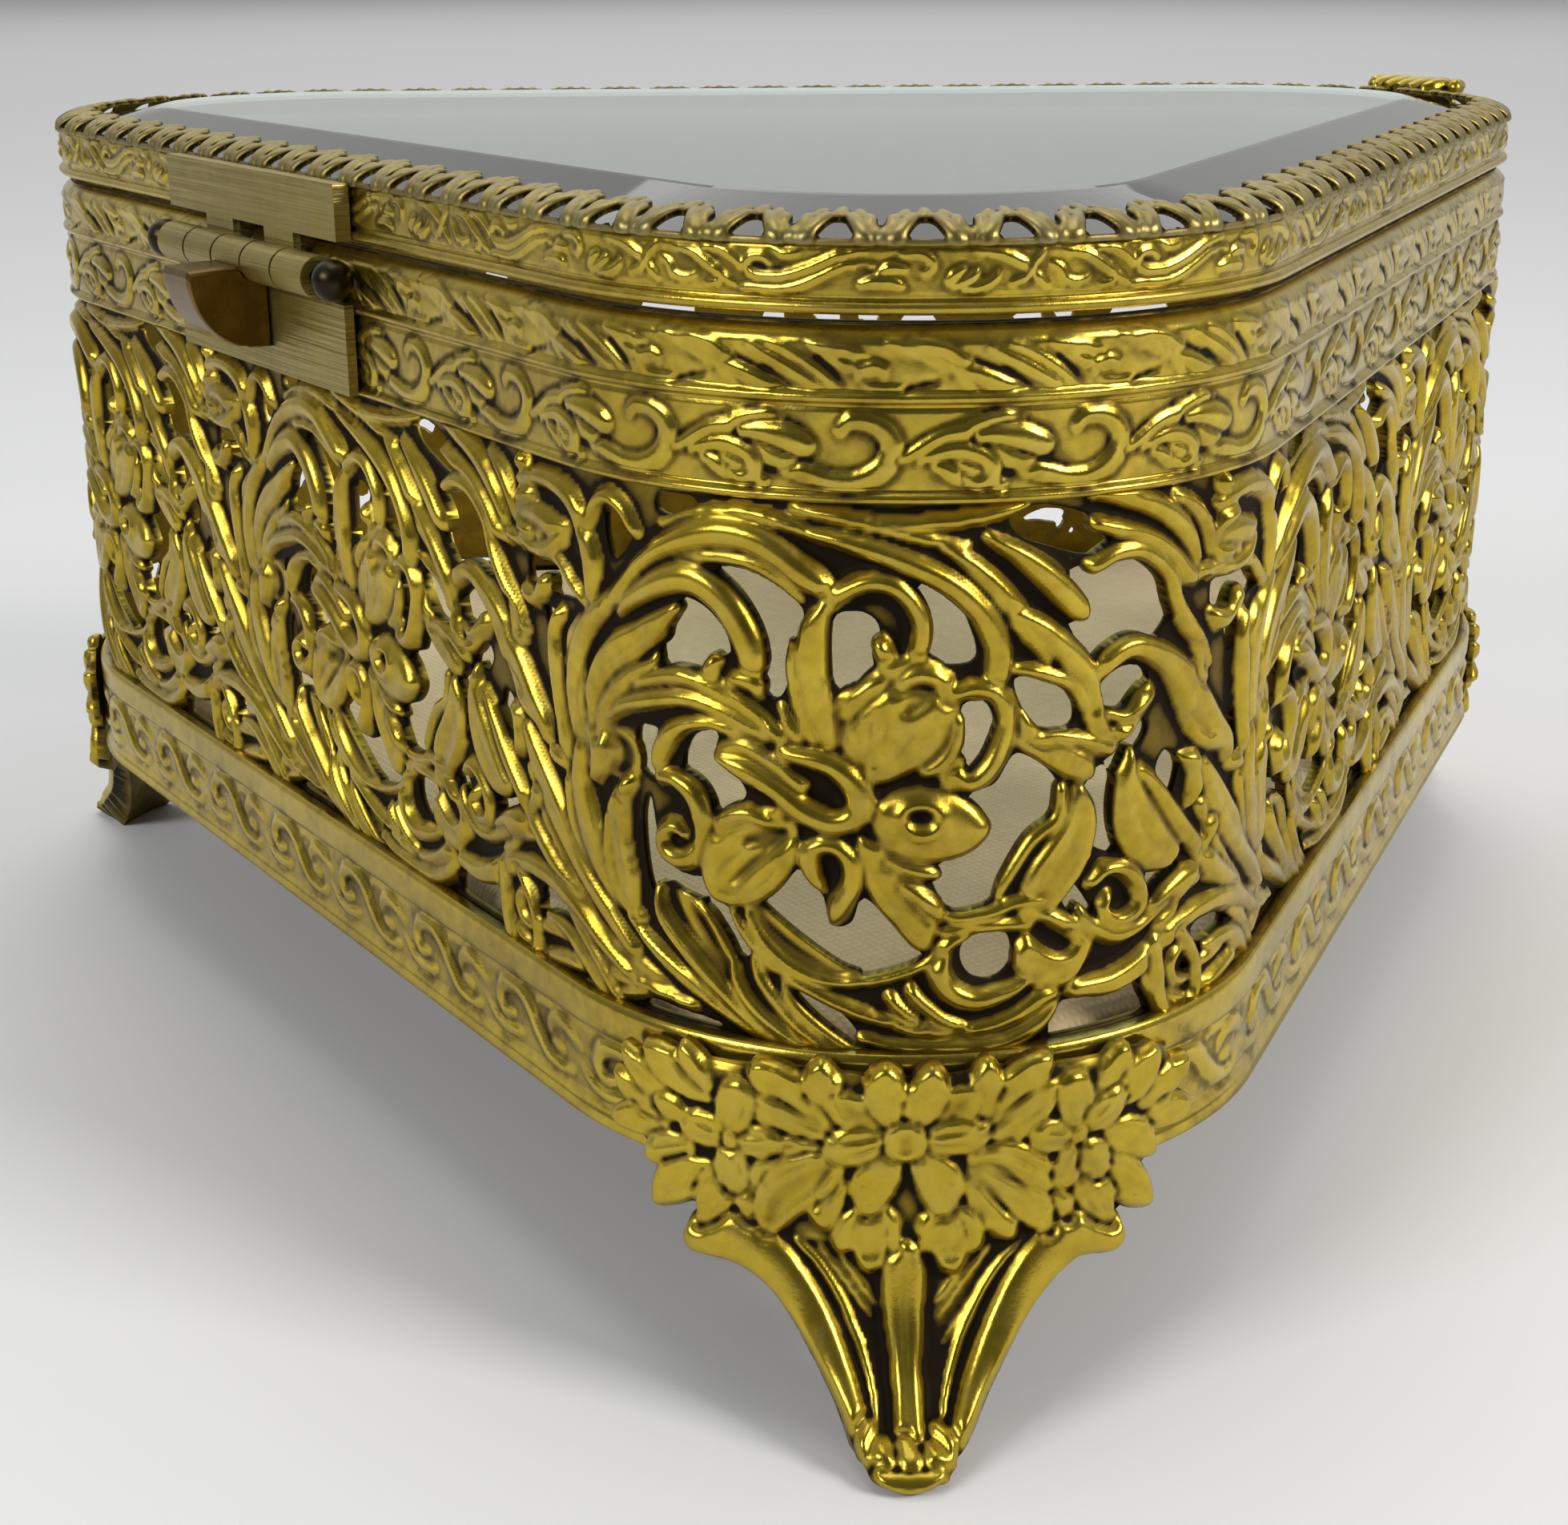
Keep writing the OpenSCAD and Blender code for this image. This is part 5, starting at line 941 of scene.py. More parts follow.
# petals, leaves and toe, drawn one by one: (kind, height, [(sideways, down, width), ...]) in mm
PETALS = [
    # fan leaves behind the flowers
    ("g", 0.55, [(17.0, 5.9, 1.0), (18.4, 5.2, 2.2), (19.8, 4.4, 2.0), (20.8, 3.6, 1.0)]),
    ("g", 0.55, [(16.8, 6.2, 1.0), (18.6, 6.5, 2.4), (20.2, 6.8, 2.0), (21.2, 7.0, 1.0)]),
    ("g", 0.5, [(16.6, 4.0, 1.0), (18.2, 3.2, 2.0), (19.4, 2.4, 1.8), (20.2, 1.6, 0.8)]),
    ("g", 0.55, [(-16.8, 4.6, 1.0), (-18.4, 4.0, 2.4), (-19.8, 3.2, 2.0), (-20.6, 2.6, 1.0)]),
    ("g", 0.55, [(-17.2, 6.0, 1.0), (-18.8, 6.0, 2.4), (-20.2, 6.0, 2.0), (-21.2, 6.0, 0.8)]),
    ("g", 0.6, [(13.6, 3.4, 1.0), (15.2, 2.4, 2.4), (16.8, 1.6, 2.4), (18.0, 1.0, 1.2)]),
    ("g", 0.6, [(13.4, 2.6, 0.8), (14.4, 1.4, 1.8), (15.0, 0.6, 1.4), (15.2, 0.0, 0.6)]),
    ("g", 0.6, [(-13.2, 3.0, 1.0), (-14.2, 1.8, 2.2), (-14.8, 0.8, 1.8), (-15.0, 0.1, 0.7)]),
    ("g", 0.65, [(-14.6, 4.0, 1.0), (-15.9, 3.0, 2.4), (-16.9, 1.9, 2.2), (-17.5, 1.0, 1.0)]),
    ("r", 0.7, [(14.8, 7.2, 1.0), (16.0, 7.9, 2.6), (17.2, 8.4, 2.4), (18.0, 8.8, 1.2)]),
    ("g", 0.7, [(13.4, 8.8, 1.4), (15.0, 9.6, 3.0), (16.4, 10.6, 2.8), (17.4, 11.9, 1.2)]),
    ("g", 0.75, [(12.4, 8.8, 1.4), (12.8, 10.0, 2.8), (13.3, 11.2, 2.2), (13.8, 12.3, 1.0)]),
    ("g", 0.7, [(-14.0, 6.0, 1.0), (-15.4, 6.6, 2.6), (-16.6, 7.4, 2.6), (-17.6, 8.4, 1.2)]),
    ("g", 0.7, [(-13.4, 8.2, 1.2), (-14.9, 9.4, 2.8), (-16.3, 10.7, 2.8), (-17.5, 12.0, 1.2)]),
    ("g", 0.75, [(-12.0, 8.6, 1.2), (-12.8, 9.9, 2.8), (-13.5, 11.1, 2.4), (-14.1, 12.3, 1.0)]),
    ("r", 0.6, [(10.9, 9.4, 0.8), (10.5, 10.4, 1.8), (10.1, 11.4, 1.0)]),
    ("r", 0.6, [(-10.2, 9.6, 0.8), (-10.6, 10.6, 1.7), (-10.9, 11.3, 0.8)]),
    # leaves that fill the middle
    ("g", 0.75, [(4.6, 4.6, 1.2), (6.2, 3.2, 2.6), (7.9, 2.0, 3.0), (9.4, 1.0, 2.0), (10.0, 0.6, 0.8)]),
    ("g", 0.7, [(4.6, 4.0, 1.0), (5.2, 2.4, 2.2), (5.6, 1.0, 2.2), (5.6, 0.1, 1.2)]),
    ("g", 0.7, [(4.9, 5.2, 1.2), (6.8, 4.7, 2.4), (8.6, 3.9, 2.4), (9.9, 2.8, 1.2)]),
    ("r", 0.6, [(5.0, 5.9, 0.8), (6.6, 6.0, 1.6), (8.2, 5.7, 1.4), (9.0, 5.2, 0.6)]),
    ("g", 0.75, [(-4.6, 4.6, 1.2), (-5.9, 3.0, 2.6), (-7.2, 1.6, 2.8), (-8.6, 0.4, 2.0), (-9.4, -0.2, 0.8)]),
    ("g", 0.7, [(-4.4, 3.6, 1.0), (-4.9, 2.2, 2.0), (-5.2, 0.8, 2.0), (-5.2, -0.2, 1.0)]),
    ("g", 0.7, [(-5.0, 5.2, 1.2), (-6.6, 4.4, 2.4), (-8.2, 3.4, 2.4), (-9.6, 2.2, 1.4), (-10.2, 1.5, 0.5)]),
    ("g", 0.75, [(4.6, 7.4, 1.4), (5.2, 9.0, 2.6), (5.3, 10.4, 2.0), (5.2, 11.2, 1.0)]),
    ("g", 0.7, [(6.4, 6.6, 1.0), (8.2, 7.2, 2.4), (9.4, 8.4, 2.0), (9.9, 9.4, 0.8)]),
    ("h", 0.85, [(4.4, 6.9, 1.2), (5.9, 7.7, 3.0), (7.6, 9.0, 3.4), (8.7, 10.6, 2.6), (9.0, 12.0, 1.0)]),
    ("r", 0.75, [(-4.3, 7.6, 1.0), (-5.2, 9.2, 2.4), (-6.2, 10.7, 2.4), (-6.9, 12.0, 1.2)]),
    ("g", 0.8, [(-4.4, 6.9, 1.0), (-6.0, 7.8, 2.4), (-7.6, 9.2, 2.8), (-8.8, 10.8, 2.2), (-9.4, 12.0, 1.0)]),
    ("g", 0.85, [(-4.4, 6.4, 1.0), (-6.2, 6.4, 2.2), (-8.0, 7.2, 2.4), (-9.6, 8.6, 1.4), (-10.0, 9.2, 0.5)]),
    # side flowers
    ("r", 0.8, [(11.2, 6.1, 0.8), (10.2, 5.9, 2.2), (9.2, 5.8, 2.2), (8.5, 5.6, 1.0)]),
    ("r", 0.8, [(11.7, 5.4, 0.8), (11.5, 4.2, 2.5), (11.2, 3.0, 2.6), (11.1, 2.2, 1.4)]),
    ("r", 0.8, [(12.2, 6.1, 0.8), (13.2, 5.8, 2.2), (14.2, 5.6, 2.4), (15.0, 5.6, 1.2)]),
    ("r", 0.8, [(11.7, 6.8, 0.8), (11.6, 7.8, 2.4), (11.5, 8.8, 2.2), (11.5, 9.3, 1.0)]),
    ("r", 0.6, [(15.4, 4.9, 1.2), (16.2, 4.8, 2.0), (17.0, 4.6, 1.2)]),
    ("h", 1.0, [(11.75, 6.0, 1.1), (11.7, 6.2, 1.1)]),
    ("r", 0.8, [(-11.1, 5.7, 0.8), (-10.1, 5.5, 2.2), (-9.2, 5.3, 2.2), (-8.6, 5.0, 1.0)]),
    ("r", 0.8, [(-11.5, 4.8, 0.8), (-11.4, 3.6, 2.4), (-11.2, 2.4, 2.5), (-11.0, 1.6, 1.2)]),
    ("r", 0.8, [(-12.3, 5.3, 0.8), (-13.2, 4.6, 2.2), (-14.1, 3.9, 2.2), (-14.7, 3.4, 1.0)]),
    ("r", 0.8, [(-11.5, 6.4, 0.8), (-11.1, 7.4, 2.2), (-10.8, 8.4, 2.0), (-10.6, 9.0, 1.0)]),
    ("r", 0.8, [(-12.1, 6.4, 0.8), (-12.7, 7.4, 2.2), (-13.1, 8.3, 2.0), (-13.3, 8.9, 0.9)]),
    ("h", 1.0, [(-11.75, 5.6, 1.1), (-11.7, 5.8, 1.1)]),
    # small lobes above the leg
    ("r", 0.7, [(2.6, 10.2, 1.2), (3.4, 11.2, 2.0), (4.0, 12.3, 1.6), (4.2, 12.9, 0.6)]),
    ("r", 0.7, [(1.6, 10.0, 1.2), (1.2, 11.2, 1.8), (1.0, 12.4, 1.2), (1.0, 12.9, 0.5)]),
    ("g", 0.8, [(2.2, 10.2, 1.2), (2.3, 11.8, 2.2), (2.3, 13.3, 1.8), (2.3, 14.1, 0.7)]),
    ("r", 0.7, [(-2.2, 10.0, 1.2), (-1.7, 11.2, 1.8), (-1.6, 12.4, 1.2), (-1.6, 12.9, 0.5)]),
    ("r", 0.7, [(-3.4, 10.2, 1.2), (-4.0, 11.2, 2.0), (-4.4, 12.3, 1.5), (-4.6, 12.9, 0.5)]),
    ("g", 0.8, [(-2.7, 10.2, 1.2), (-2.8, 11.8, 2.2), (-3.0, 13.4, 1.8), (-3.1, 14.1, 0.6)]),
    # middle flower
    ("h", 0.85, [(1.5, 4.0, 0.8), (2.6, 3.4, 2.0), (3.6, 3.0, 2.5), (4.5, 2.6, 1.4)]),
    ("h", 0.85, [(-1.4, 3.9, 0.8), (-2.4, 3.2, 1.8), (-3.3, 2.5, 2.4), (-4.1, 2.0, 1.4)]),
    ("g", 0.85, [(0.4, 3.9, 1.0), (1.1, 2.5, 2.4), (1.4, 1.2, 2.6), (1.4, 0.3, 1.5)]),
    ("g", 0.85, [(-0.2, 3.9, 1.0), (-1.0, 2.5, 2.2), (-1.5, 1.2, 2.4), (-1.6, 0.3, 1.4)]),
    ("g", 0.9, [(0.8, 6.2, 1.2), (1.6, 7.3, 2.5), (2.2, 8.4, 2.8), (2.4, 9.7, 1.7)]),
    ("g", 0.9, [(-0.7, 6.2, 1.2), (-1.7, 7.2, 2.5), (-2.3, 8.3, 2.9), (-2.3, 9.7, 1.7)]),
    ("r", 0.9, [(1.4, 4.9, 1.0), (2.6, 5.2, 2.2), (3.8, 5.6, 2.7), (4.7, 5.8, 1.5)]),
    ("r", 0.9, [(-1.3, 4.9, 1.0), (-2.6, 4.8, 2.3), (-3.9, 4.7, 2.6), (-4.8, 4.5, 1.5)]),
    ("h", 1.15, [(0.08, 4.9, 2.7), (0.08, 5.1, 2.7)]),
]
LEG = [
    # thin chased lines in the panels, stem, rolled flanges, inner rims, toe leaves
    ("r", 0.25, [(5.6, 12.9, 0.3), (4.4, 14.4, 0.4), (3.2, 16.0, 0.35), (2.2, 17.4, 0.2)]),
    ("r", 0.25, [(4.6, 12.9, 0.3), (3.6, 14.2, 0.4), (2.6, 15.6, 0.35), (1.9, 16.6, 0.2)]),
    ("r", 0.25, [(5.4, 14.8, 0.3), (4.4, 16.2, 0.4), (3.3, 17.8, 0.3), (2.3, 19.2, 0.2)]),
    ("r", 0.25, [(4.6, 17.2, 0.3), (3.6, 18.7, 0.35), (2.6, 20.2, 0.2)]),
    ("r", 0.25, [(-5.6, 12.9, 0.3), (-4.4, 14.4, 0.4), (-3.2, 16.0, 0.35), (-2.2, 17.4, 0.2)]),
    ("r", 0.25, [(-4.8, 12.7, 0.3), (-3.8, 14.1, 0.4), (-2.8, 15.5, 0.35), (-2.0, 16.6, 0.2)]),
    ("r", 0.25, [(-5.6, 14.8, 0.3), (-4.6, 16.2, 0.4), (-3.5, 17.8, 0.3), (-2.5, 19.2, 0.2)]),
    ("r", 0.25, [(-4.8, 17.4, 0.3), (-3.8, 18.9, 0.35), (-2.8, 20.4, 0.2)]),
    ("g", 0.95, [(0.1, 13.0, 2.2), (0.1, 14.6, 3.0), (0.1, 17.0, 2.8), (0.0, 19.5, 2.3), (-0.1, 22.0, 2.1), (-0.2, 25.0, 2.1), (-0.3, 26.5, 1.8)]),
    ("r", 0.55, [(7.2, 12.6, 0.5), (5.6, 14.2, 0.7), (4.2, 16.4, 0.7), (3.0, 19.2, 0.7), (2.2, 22.0, 0.6), (1.9, 24.6, 0.5)]),
    ("r", 0.55, [(-7.9, 12.6, 0.5), (-6.2, 14.2, 0.7), (-4.7, 16.6, 0.7), (-3.5, 19.2, 0.7), (-2.7, 22.0, 0.6), (-2.3, 24.4, 0.5)]),
    ("r", 1.25, [(14.1, 13.7, 2.5), (13.0, 13.1, 3.7), (11.4, 13.1, 3.8), (9.5, 13.8, 3.6), (7.9, 15.1, 3.3), (6.4, 17.1, 3.0), (5.1, 19.5, 2.6),
                 (4.0, 22.0, 2.1), (3.2, 24.3, 1.6), (2.8, 25.6, 1.2)]),
    ("r", 1.25, [(-14.3, 13.6, 2.5), (-13.2, 12.8, 3.8), (-11.6, 12.7, 3.9), (-9.9, 13.6, 3.7), (-8.3, 15.2, 3.4), (-6.9, 17.3, 3.0), (-5.6, 19.8, 2.6),
                 (-4.5, 22.2, 2.1), (-3.7, 24.5, 1.6), (-3.1, 25.8, 1.2)]),
    ("r", 0.9, [(2.4, 24.4, 1.0), (2.6, 25.6, 1.7), (2.3, 26.6, 1.3)]),
    ("r", 0.8, [(1.5, 25.4, 1.0), (1.6, 26.4, 1.7), (1.3, 27.4, 1.3), (1.2, 28.0, 0.7)]),
    ("r", 0.9, [(-1.9, 24.4, 1.0), (-2.4, 25.6, 1.9), (-2.5, 26.8, 1.5)]),
    ("r", 0.8, [(-1.5, 25.8, 1.0), (-1.8, 26.8, 1.8), (-2.1, 27.8, 1.3)]),
    ("g", 0.8, [(0.2, 25.6, 1.2), (-0.2, 26.8, 1.7), (-0.3, 27.8, 1.2)]),
    ("r", 0.7, [(-2.1, 27.7, 0.8), (-1.2, 28.2, 1.3), (0.0, 28.4, 1.4), (1.2, 28.1, 1.3), (1.9, 27.5, 0.7)]),
]
LEG_FILL = [(12.0, 10.0), (11.6, 12.4), (9.4, 13.4), (7.6, 15.2), (6.0, 17.8), (4.6, 20.8), (3.4, 24.0), (2.8, 26.2), (2.5, 27.6), (1.5, 28.7),
            (-1.5, 28.7), (-2.7, 27.8), (-3.1, 26.2), (-4.0, 23.8), (-5.0, 20.8), (-6.4, 17.6), (-8.2, 14.8), (-10.2, 13.2), (-12.0, 12.0), (-12.0, 10.0)]
BRACKET_FILL = [(18.5, 1.2), (19.5, 4.0), (18.0, 7.0), (15.8, 9.6), (13.0, 10.4), (8.0, 11.0), (0.0, 12.0), (-8.0, 11.0), (-13.0, 10.4),
                (-15.8, 9.4), (-18.0, 7.0), (-19.5, 4.2), (-18.5, 1.0), (-12.0, 0.6), (-6.0, 0.4), (0.0, 0.8), (6.0, 0.4), (12.0, 0.8)]


def feet():
    length, at = profile_frame(FOOT)
    h = 0.19
    f = Field(-22.2, 22.2, -length, 1.0, h, False, floor=0.0)
    down = lambda pts: [(a, -b) + tuple(c) for a, b, *c in pts]
    f.solid(down(BRACKET_FILL))
    f.solid(down(LEG_FILL))
    leg = f.S > 0
    f.H = np.where(leg & (f.Y < -12.6) & (f.Y > -25.4), -0.22, f.H)
    for kind, top, pts in LEG:
        f.stroke(down(pts), top, kind, base=-0.05, gain=0.80, moat=0.22, trench=0.20, sharp=0.5 if top > 1.2 else 0.8)
    for kind, top, pts in PETALS:
        f.stroke(down(pts), top * 0.9, kind, scale=1.08, base=0.05, gain=0.74, moat=0.15, trench=0.16, sharp=0.6)
    # fine graver's lines down the petals
    rng = np.random.default_rng(7)
    for kind, top, pts in PETALS:
        w = max(p[2] for p in pts)
        if w < 2.1 or kind == "h":
            continue
        c = np.array([p[:2] for p in pts], float)
        d = c[-1] - c[0]
        nrm = np.array([-d[1], d[0]]) / (np.hypot(*d) + 1e-9)
        for k in (-0.27, 0.27):
            line = [(x + nrm[0] * k * p[2] * 0.9, y + nrm[1] * k * p[2] * 0.9) for (x, y), p in zip(c, pts)]
            a, b = np.array(line[0]), np.array(line[-2])
            m = np.array(line[1])
            f.stroke(down([(a[0], a[1], 0.28), (m[0], m[1], 0.46), (b[0], b[1], 0.28)]), -0.26, "pit")
    f.soften(1)
    # round the free edge off
    H = f.H - 0.35 * np.exp(-(np.maximum(f.S, 0) / 0.30) ** 2)
    patina_and_shade = f.cavity(h)
    V = np.maximum(-f.Y, 0)
    # painted shade in the sunken panels either side of the stem
    panel_shade = np.exp(-((np.abs(f.X) - (1.2 + np.clip(26 - V, 0, 13) * 0.16)) / 1.0) ** 2) * np.clip((V - 15.5) / 3.0, 0, 1) * np.clip((25.2 - V) / 1.5, 0, 1)
    patina_and_shade = patina_and_shade + 0.26 * panel_shade * (H < 0.02)
    H = np.where(V > length - 1.6, np.minimum(H, 0.25), H)
    back = -np.interp(V, [0, 9, 14, 20, 25, 28.5], [0.8, 0.9, 1.6, 2.4, 3.6, 4.6])
    back = back + 0 * f.X

    for name, m, fa in (("foot_back_left", 150.0, 144.5), ("foot_back_right", 30.0, 30.0), ("foot_front", 270.0, 270.0)):
        cx, cy = DC * math.cos(math.radians(m)), DC * math.sin(math.radians(m))

        def place(s, y, n):
            v = np.clip(-y, 0, length)
            r, z, tr, tz, n = at(v, n)
            up = np.where(-y < 0, y, 0.0)
            rr = r + n * (-tz)
            zz = np.maximum(z + n * tr + up, -ZR + 0.02)
            a = np.radians(fa) - s / r
            return np.stack([cx + rr * np.cos(a) + CX, cy + rr * np.sin(a) + CY, zz + ZR], -1) * MM

        co, faces, flat, used = relief_sheet(f.U, f.Z, H, back, f.S, False, place)
        c2 = np.concatenate([patina_and_shade.reshape(-1), np.full(H.size, 0.25)])[used]
        new_object(name + "_cast", co, faces, "base", M_CAST, attrs={"patina_and_shade": c2}, flat=flat, replaces=(name,))


feet()


# ------------------------------------------------------------------ thumb lift: a small fluted shell on the front corner
def lift():
    length, at = profile_frame([(0.1, 1.75), (0.9, 2.2), (1.8, 3.2), (2.1, 4.4), (1.9, 5.6), (2.0, 6.6), (2.5, 7.1), (2.3, 7.5),
                                (1.2, 7.65), (-0.4, 7.5), (-2.1, 7.1)])
    h = 0.17
    f = Field(-6.4, 6.4, 0.0, length, h, False, floor=-0.10)
    q = dict(base=0.0, gain=0.62, moat=0.22, trench=0.12)
    for s in (-1, 1):
        f.stroke([(s * 1.0, 0.8, 0.8), (s * 2.6, 2.4, 1.5), (s * 3.9, 3.6, 1.7), (s * 4.3, 4.9, 0.9)], 0.8, "g", **q)
        f.stroke([(s * 0.6, 3.6, 0.7), (s * 2.4, 5.2, 1.3), (s * 4.2, 6.8, 1.8), (s * 5.2, 8.2, 1.5)], 0.8, "r", **q)
        f.stroke([(s * 0.5, 3.8, 0.7), (s * 1.7, 5.8, 1.4), (s * 3.0, 7.8, 2.0), (s * 3.6, 9.6, 1.8), (s * 3.4, 10.8, 1.0)], 0.9, "r", **q)
        f.stroke([(s * 0.3, 3.8, 0.6), (s * 0.9, 6.0, 1.2), (s * 1.5, 8.4, 1.7), (s * 1.7, 10.6, 1.6), (s * 1.5, 11.8, 1.0)], 0.9, "r", **q)
    f.stroke([(0, 0.5, 1.0), (0, 2.2, 2.2), (0, 3.6, 1.2)], 1.0, "g", **q)
    f.stroke([(0, 3.8, 0.7), (0, 6.6, 1.2), (0, 9.6, 1.6), (0, 11.9, 1.2)], 0.9, "r", **q)
    f.solid([(-0.8, 0.3), (-2.6, 2.0), (-3.6, 3.9), (-2.6, 5.4), (-4.6, 7.4), (-4.2, 9.4), (-2.6, 11.2), (0, 12.2), (2.6, 11.2), (4.2, 9.4),
             (4.6, 7.4), (2.6, 5.4), (3.6, 3.9), (2.6, 2.0), (0.8, 0.3)])
    f.soften(1)
    H = f.H - 0.25 * np.exp(-(np.maximum(f.S, 0) / 0.25) ** 2)
    patina_and_shade = f.cavity(h)

    def place(s, v, n):
        o, z, to, tz, n = at(v, n)
        return wall_points(2 * TH + s, z - n * to, o + n * tz)

    co, faces, flat, used = relief_sheet(f.U, f.Z, H, np.full(H.shape, -0.75), f.S, False, place)
    c2 = np.concatenate([patina_and_shade.reshape(-1), np.full(H.size, 0.2)])[used]
    new_object("thumb_lift_shell", co, faces, "lid", M_CAST, attrs={"patina_and_shade": c2}, flat=flat, replaces=("thumb_lift",))


lift()


# ------------------------------------------------------------------ hinge stop: a rounded lug
def lug():
    pts = smooth_curve([(55.5, -7.7), (57.0, -7.3), (58.5, -6.3), (59.6, -4.8), (60.2, -3.1), (60.35, -2.0)], 4)
    prof = [(AP + 1.3, -1.42), (AP + 1.3, -7.75)] + [tuple(p) for p in pts] + [(60.2, -1.5), (58.0, -1.38)]
    x0, x1 = HX - 2.7, HX + 2.7
    e = 0.45
    c = np.array(prof)
    mid = c.mean(0)
    rings = []
    for x, k in ((x0, 0.90), (x0 + 0.12, 0.955), (x0 + e, 1.0), (x1 - e, 1.0), (x1 - 0.12, 0.955), (x1, 0.90)):
        q = mid + (c - mid) * k
        rings.append(np.stack([np.full(len(q), x) + CX, q[:, 0] + CY, q[:, 1] + ZR], -1) * MM)
    n = len(c)
    co = np.concatenate(rings)
    i = np.arange(n)
    j = (i + 1) % n
    quads = np.concatenate([np.stack([r * n + i, (r + 1) * n + i, (r + 1) * n + j, r * n + j], 1) for r in range(len(rings) - 1)])
    last = (len(rings) - 1) * n
    caps = np.concatenate([np.stack([np.full(n - 2, 0), i[1:-1], i[2:]], 1), np.stack([np.full(n - 2, last), last + i[2:], last + i[1:-1]], 1)])
    new_object("hinge_stop_lug", co, [quads, caps], "base", M_LUG_PAINTED_SHADE, replaces=("hinge_stop",), smooth=False)


HX = 1.5
lug()


# ------------------------------------------------------------------ padded lining
def pad():
    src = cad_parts["lining_pad"]
    lo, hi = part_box("lining_pad")
    zb, zt = lo[2], hi[2]
    n = int(round(PERIM / 3.4))
    U = np.arange(n) * PERIM / n
    rings = [(-3.2, 0.0), (-2.2, 1.0), (-1.9, 2.6), (-2.0, 4.4), (-2.9, 5.7), (-4.6, 6.3), (-8.0, 6.6), (-14.0, 6.8), (-21.0, 6.9), (-27.0, 6.9)]
    zb_mm = zb * 1000 - ZR
    co = [wall_points(U, np.full(n, zb_mm + 0.05 + z), np.full(n, o)) for o, z in rings]
    # inner fill as a grid fan towards the middle
    inner = co[-1]
    mid = inner.mean(0)
    for k in (0.62, 0.28):
        co.append(mid + (inner - mid) * k)
    co.append(mid[None])
    base = [wall_points(U, np.full(n, zb_mm + 0.05), np.full(n, o)) for o in (-12.0, -24.0)]
    co += base
    bm_ = (base[-1].mean(0))[None]
    co.append(bm_)
    i = np.arange(n)
    j = (i + 1) % n
    q = []
    for r in range(11):
        q.append(np.stack([r * n + j, r * n + i, (r + 1) * n + i, (r + 1) * n + j], 1))
    top = 12 * n
    t = [np.stack([11 * n + j, 11 * n + i, np.full(n, top)], 1)]
    b0 = top + 1
    q.append(np.stack([i, j, b0 + j, b0 + i], 1))
    q.append(np.stack([b0 + i, b0 + j, b0 + n + j, b0 + n + i], 1))
    t.append(np.stack([b0 + n + i, b0 + n + j, np.full(n, b0 + 2 * n)], 1))
    co = np.concatenate(co)
    ob = new_object("pad_cushion", co, [np.concatenate(q), np.concatenate(t)], "base", M_PAD, replaces=("lining_pad",))
    bpy.context.view_layer.objects.active = ob
    rm = ob.modifiers.new("remesh", "REMESH")
    rm.mode = "VOXEL"
    rm.voxel_size = 0.0022
    apply_mod(ob, "remesh")
    me = ob.data
    k = len(me.vertices)
    rest = np.empty(k * 3, np.float32)
    me.vertices.foreach_get("co", rest)
    rest = rest.reshape(-1, 3).copy()
    cl = ob.modifiers.new("cloth", "CLOTH")
    cl.settings.quality = 5
    cl.settings.mass = 0.2
    cl.settings.use_pressure = True
    cl.settings.uniform_pressure_force = 4.0
    cl.settings.effector_weights.gravity = 0.0
    cl.settings.tension_stiffness = 12
    cl.settings.compression_stiffness = 12
    cl.settings.shear_stiffness = 5
    cl.settings.bending_stiffness = 0.4
    sc = bpy.context.scene
    for fr in range(1, 16):
        sc.frame_set(fr)
    dg = bpy.context.evaluated_depsgraph_get()
    ev = ob.evaluated_get(dg).to_mesh()
    now = np.empty(len(ev.vertices) * 3, np.float32)
    ev.vertices.foreach_get("co", now)
    now = now.reshape(-1, 3).copy()
    ob.evaluated_get(dg).to_mesh_clear()
    ob.modifiers.remove(cl)
    sc.frame_set(1)
    d = now - rest
    ln = np.linalg.norm(d, axis=1)
    cap = 0.0009
    d = d * np.minimum(1, cap / np.maximum(ln, 1e-9))[:, None]
    new = rest + d
    new[:, 2] = np.maximum(new[:, 2], zb + 0.00002)
    me.vertices.foreach_set("co", new.astype(np.float32).reshape(-1))
    me.polygons.foreach_set("use_smooth", np.ones(len(me.polygons), bool))
    me.update()
    print("pad swell mm", float(ln.max() * 1000), float(ln.mean() * 1000))
    sb = ob.modifiers.new("smooth", "SUBSURF")
    sb.levels = sb.render_levels = 1
    return ob


def apply_mod(ob, name):
    dg = bpy.context.evaluated_depsgraph_get()
    me = bpy.data.meshes.new_from_object(ob.evaluated_get(dg))
    old = ob.data
    ob.modifiers.clear()
    ob.data = me
    me.name = ob.name
    if not me.materials:
        me.materials.append(M_PAD)
    bpy.data.meshes.remove(old)


pad()

# ------------------------------------------------------------------ CAD pieces that stay, with their own metals
NODE_LOOKS = {
    "bottom_plate": M_INNER, "hinge_leaf_body": M_LEAF, "hinge_leaf_lid": M_LEAF, "hinge_pin": M_PIN,
    "pin_ball_left": M_PIN, "pin_ball_right": M_PIN, "lining_board": M_PAD,
}
for n, m in NODE_LOOKS.items():
    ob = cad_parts[n]
    ob.data.materials.clear()
    ob.data.materials.append(m)
for n in ("hinge_leaf_body", "hinge_leaf_lid"):
    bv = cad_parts[n].modifiers.new("edge", "BEVEL")
    bv.width = 0.00014
    bv.segments = 2
    bv.limit_method = "ANGLE"
    bv.angle_limit = math.radians(40)

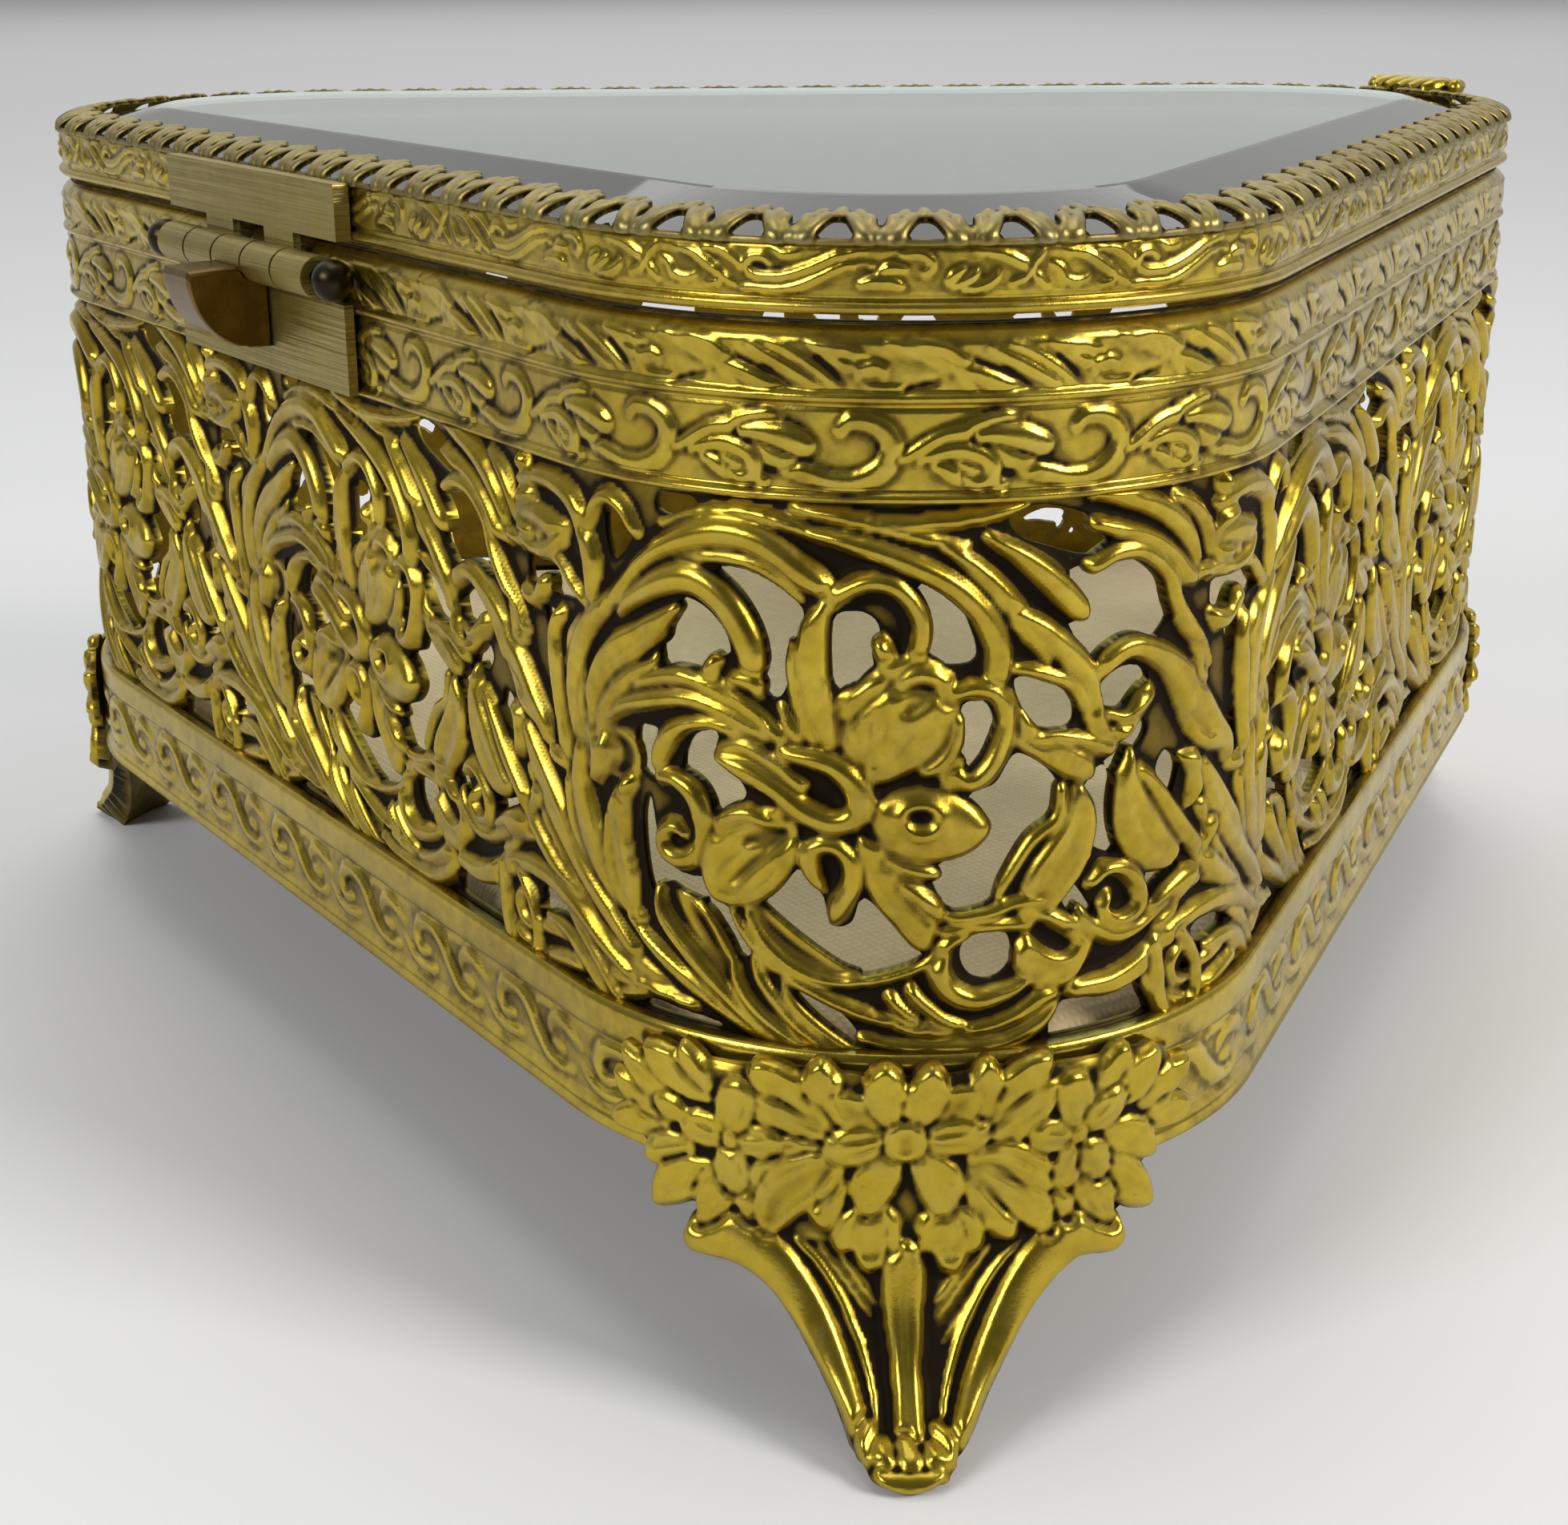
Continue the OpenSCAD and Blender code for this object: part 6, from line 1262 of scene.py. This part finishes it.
# ------------------------------------------------------------------ floor, light, camera
def floor():
    me = bpy.data.meshes.new("floor")
    s = 5.0
    me.from_pydata([(-s, -s, 0), (s, -s, 0), (s, s, 0), (-s, s, 0)], [], [(0, 1, 2, 3)])
    ob = bpy.data.objects.new("floor", me)
    bpy.context.scene.collection.objects.link(ob)
    m, nt, out = nodes_of("pale_floor")
    b = add(nt, "ShaderNodeBsdfPrincipled")
    b.inputs["Base Color"].default_value = (0.68, 0.68, 0.69, 1)
    b.inputs["Roughness"].default_value = 0.85
    nt.links.new(b.outputs[0], out.inputs[0])
    me.materials.append(m)


floor()

world = bpy.data.worlds.new("studio")
bpy.context.scene.world = world
world.use_nodes = True
wn = world.node_tree
wt = add(wn, "ShaderNodeTexCoord")
wd = add(wn, "ShaderNodeVectorMath", operation="DOT_PRODUCT")
wn.links.new(wt.outputs["Generated"], wd.inputs[0])
wd.inputs[1].default_value = (0.76, -0.54, 0.36)
wr = ramp(wn, [(0.0, (0.035, 0.036, 0.038)), (0.38, (0.08, 0.082, 0.085)), (0.75, (0.52, 0.53, 0.52)), (1.0, (0.66, 0.67, 0.64))])
wn.links.new(math_node(wn, "ADD", math_node(wn, "MULTIPLY", wd.outputs["Value"], 0.5), 0.5), wr.inputs[0])
wn.links.new(wr.outputs[0], wn.nodes["Background"].inputs[0])
wn.nodes["Background"].inputs[1].default_value = 0.9


def area(name, loc, target, size, power, color=(1, 1, 1)):
    li = bpy.data.lights.new(name, "AREA")
    li.shape = "RECTANGLE"
    li.size, li.size_y = size
    li.energy = power
    li.color = color
    ob = bpy.data.objects.new(name, li)
    ob.location = loc
    d = Vector(target) - Vector(loc)
    ob.rotation_euler = d.to_track_quat("-Z", "Y").to_euler()
    ob.visible_camera = False
    bpy.context.scene.collection.objects.link(ob)


# wide panel over the far floor, the main light from the right, a smaller one from the left, a soft one above
area("back", (1.6, -1.15, 1.3), (1.6, -1.15, 0), (3.0, 3.0), 20.0, (1.0, 0.995, 0.98))
area("key", (-0.72, -0.34, 0.52), (0, 0, 0.04), (0.32, 0.26), 6.4, (1.0, 0.985, 0.95))
area("side", (-0.10, 0.85, 0.50), (0, 0, 0.04), (0.40, 0.30), 4.6, (0.96, 0.98, 1.0))
area("top", (0.05, 0.00, 0.95), (0, 0, 0.05), (0.45, 0.45), 1.5)

view = bpy.context.scene.view_settings
view.view_transform = "Standard"

cam = bpy.data.cameras.new("camera")
cam.sensor_fit = "HORIZONTAL"
cam.sensor_width = 36.0
cam.lens = 53.624
cam.clip_start, cam.clip_end = 0.01, 30
co_ = bpy.data.objects.new("camera", cam)
Fv = Vector((0.7715, -0.5428, -0.3318)).normalized()
Uv = Vector((0.2699, -0.1930, 0.9433))
Uv = (Uv - Fv * Uv.dot(Fv)).normalized()
Rv = Fv.cross(Uv)
M = Matrix((Rv, Uv, -Fv)).transposed().to_4x4()
M.translation = Vector(((-173.879 + CX), (126.618 + CY), (22.111 + ZR))) * MM
co_.matrix_world = M
bpy.context.scene.collection.objects.link(co_)
bpy.context.scene.camera = co_
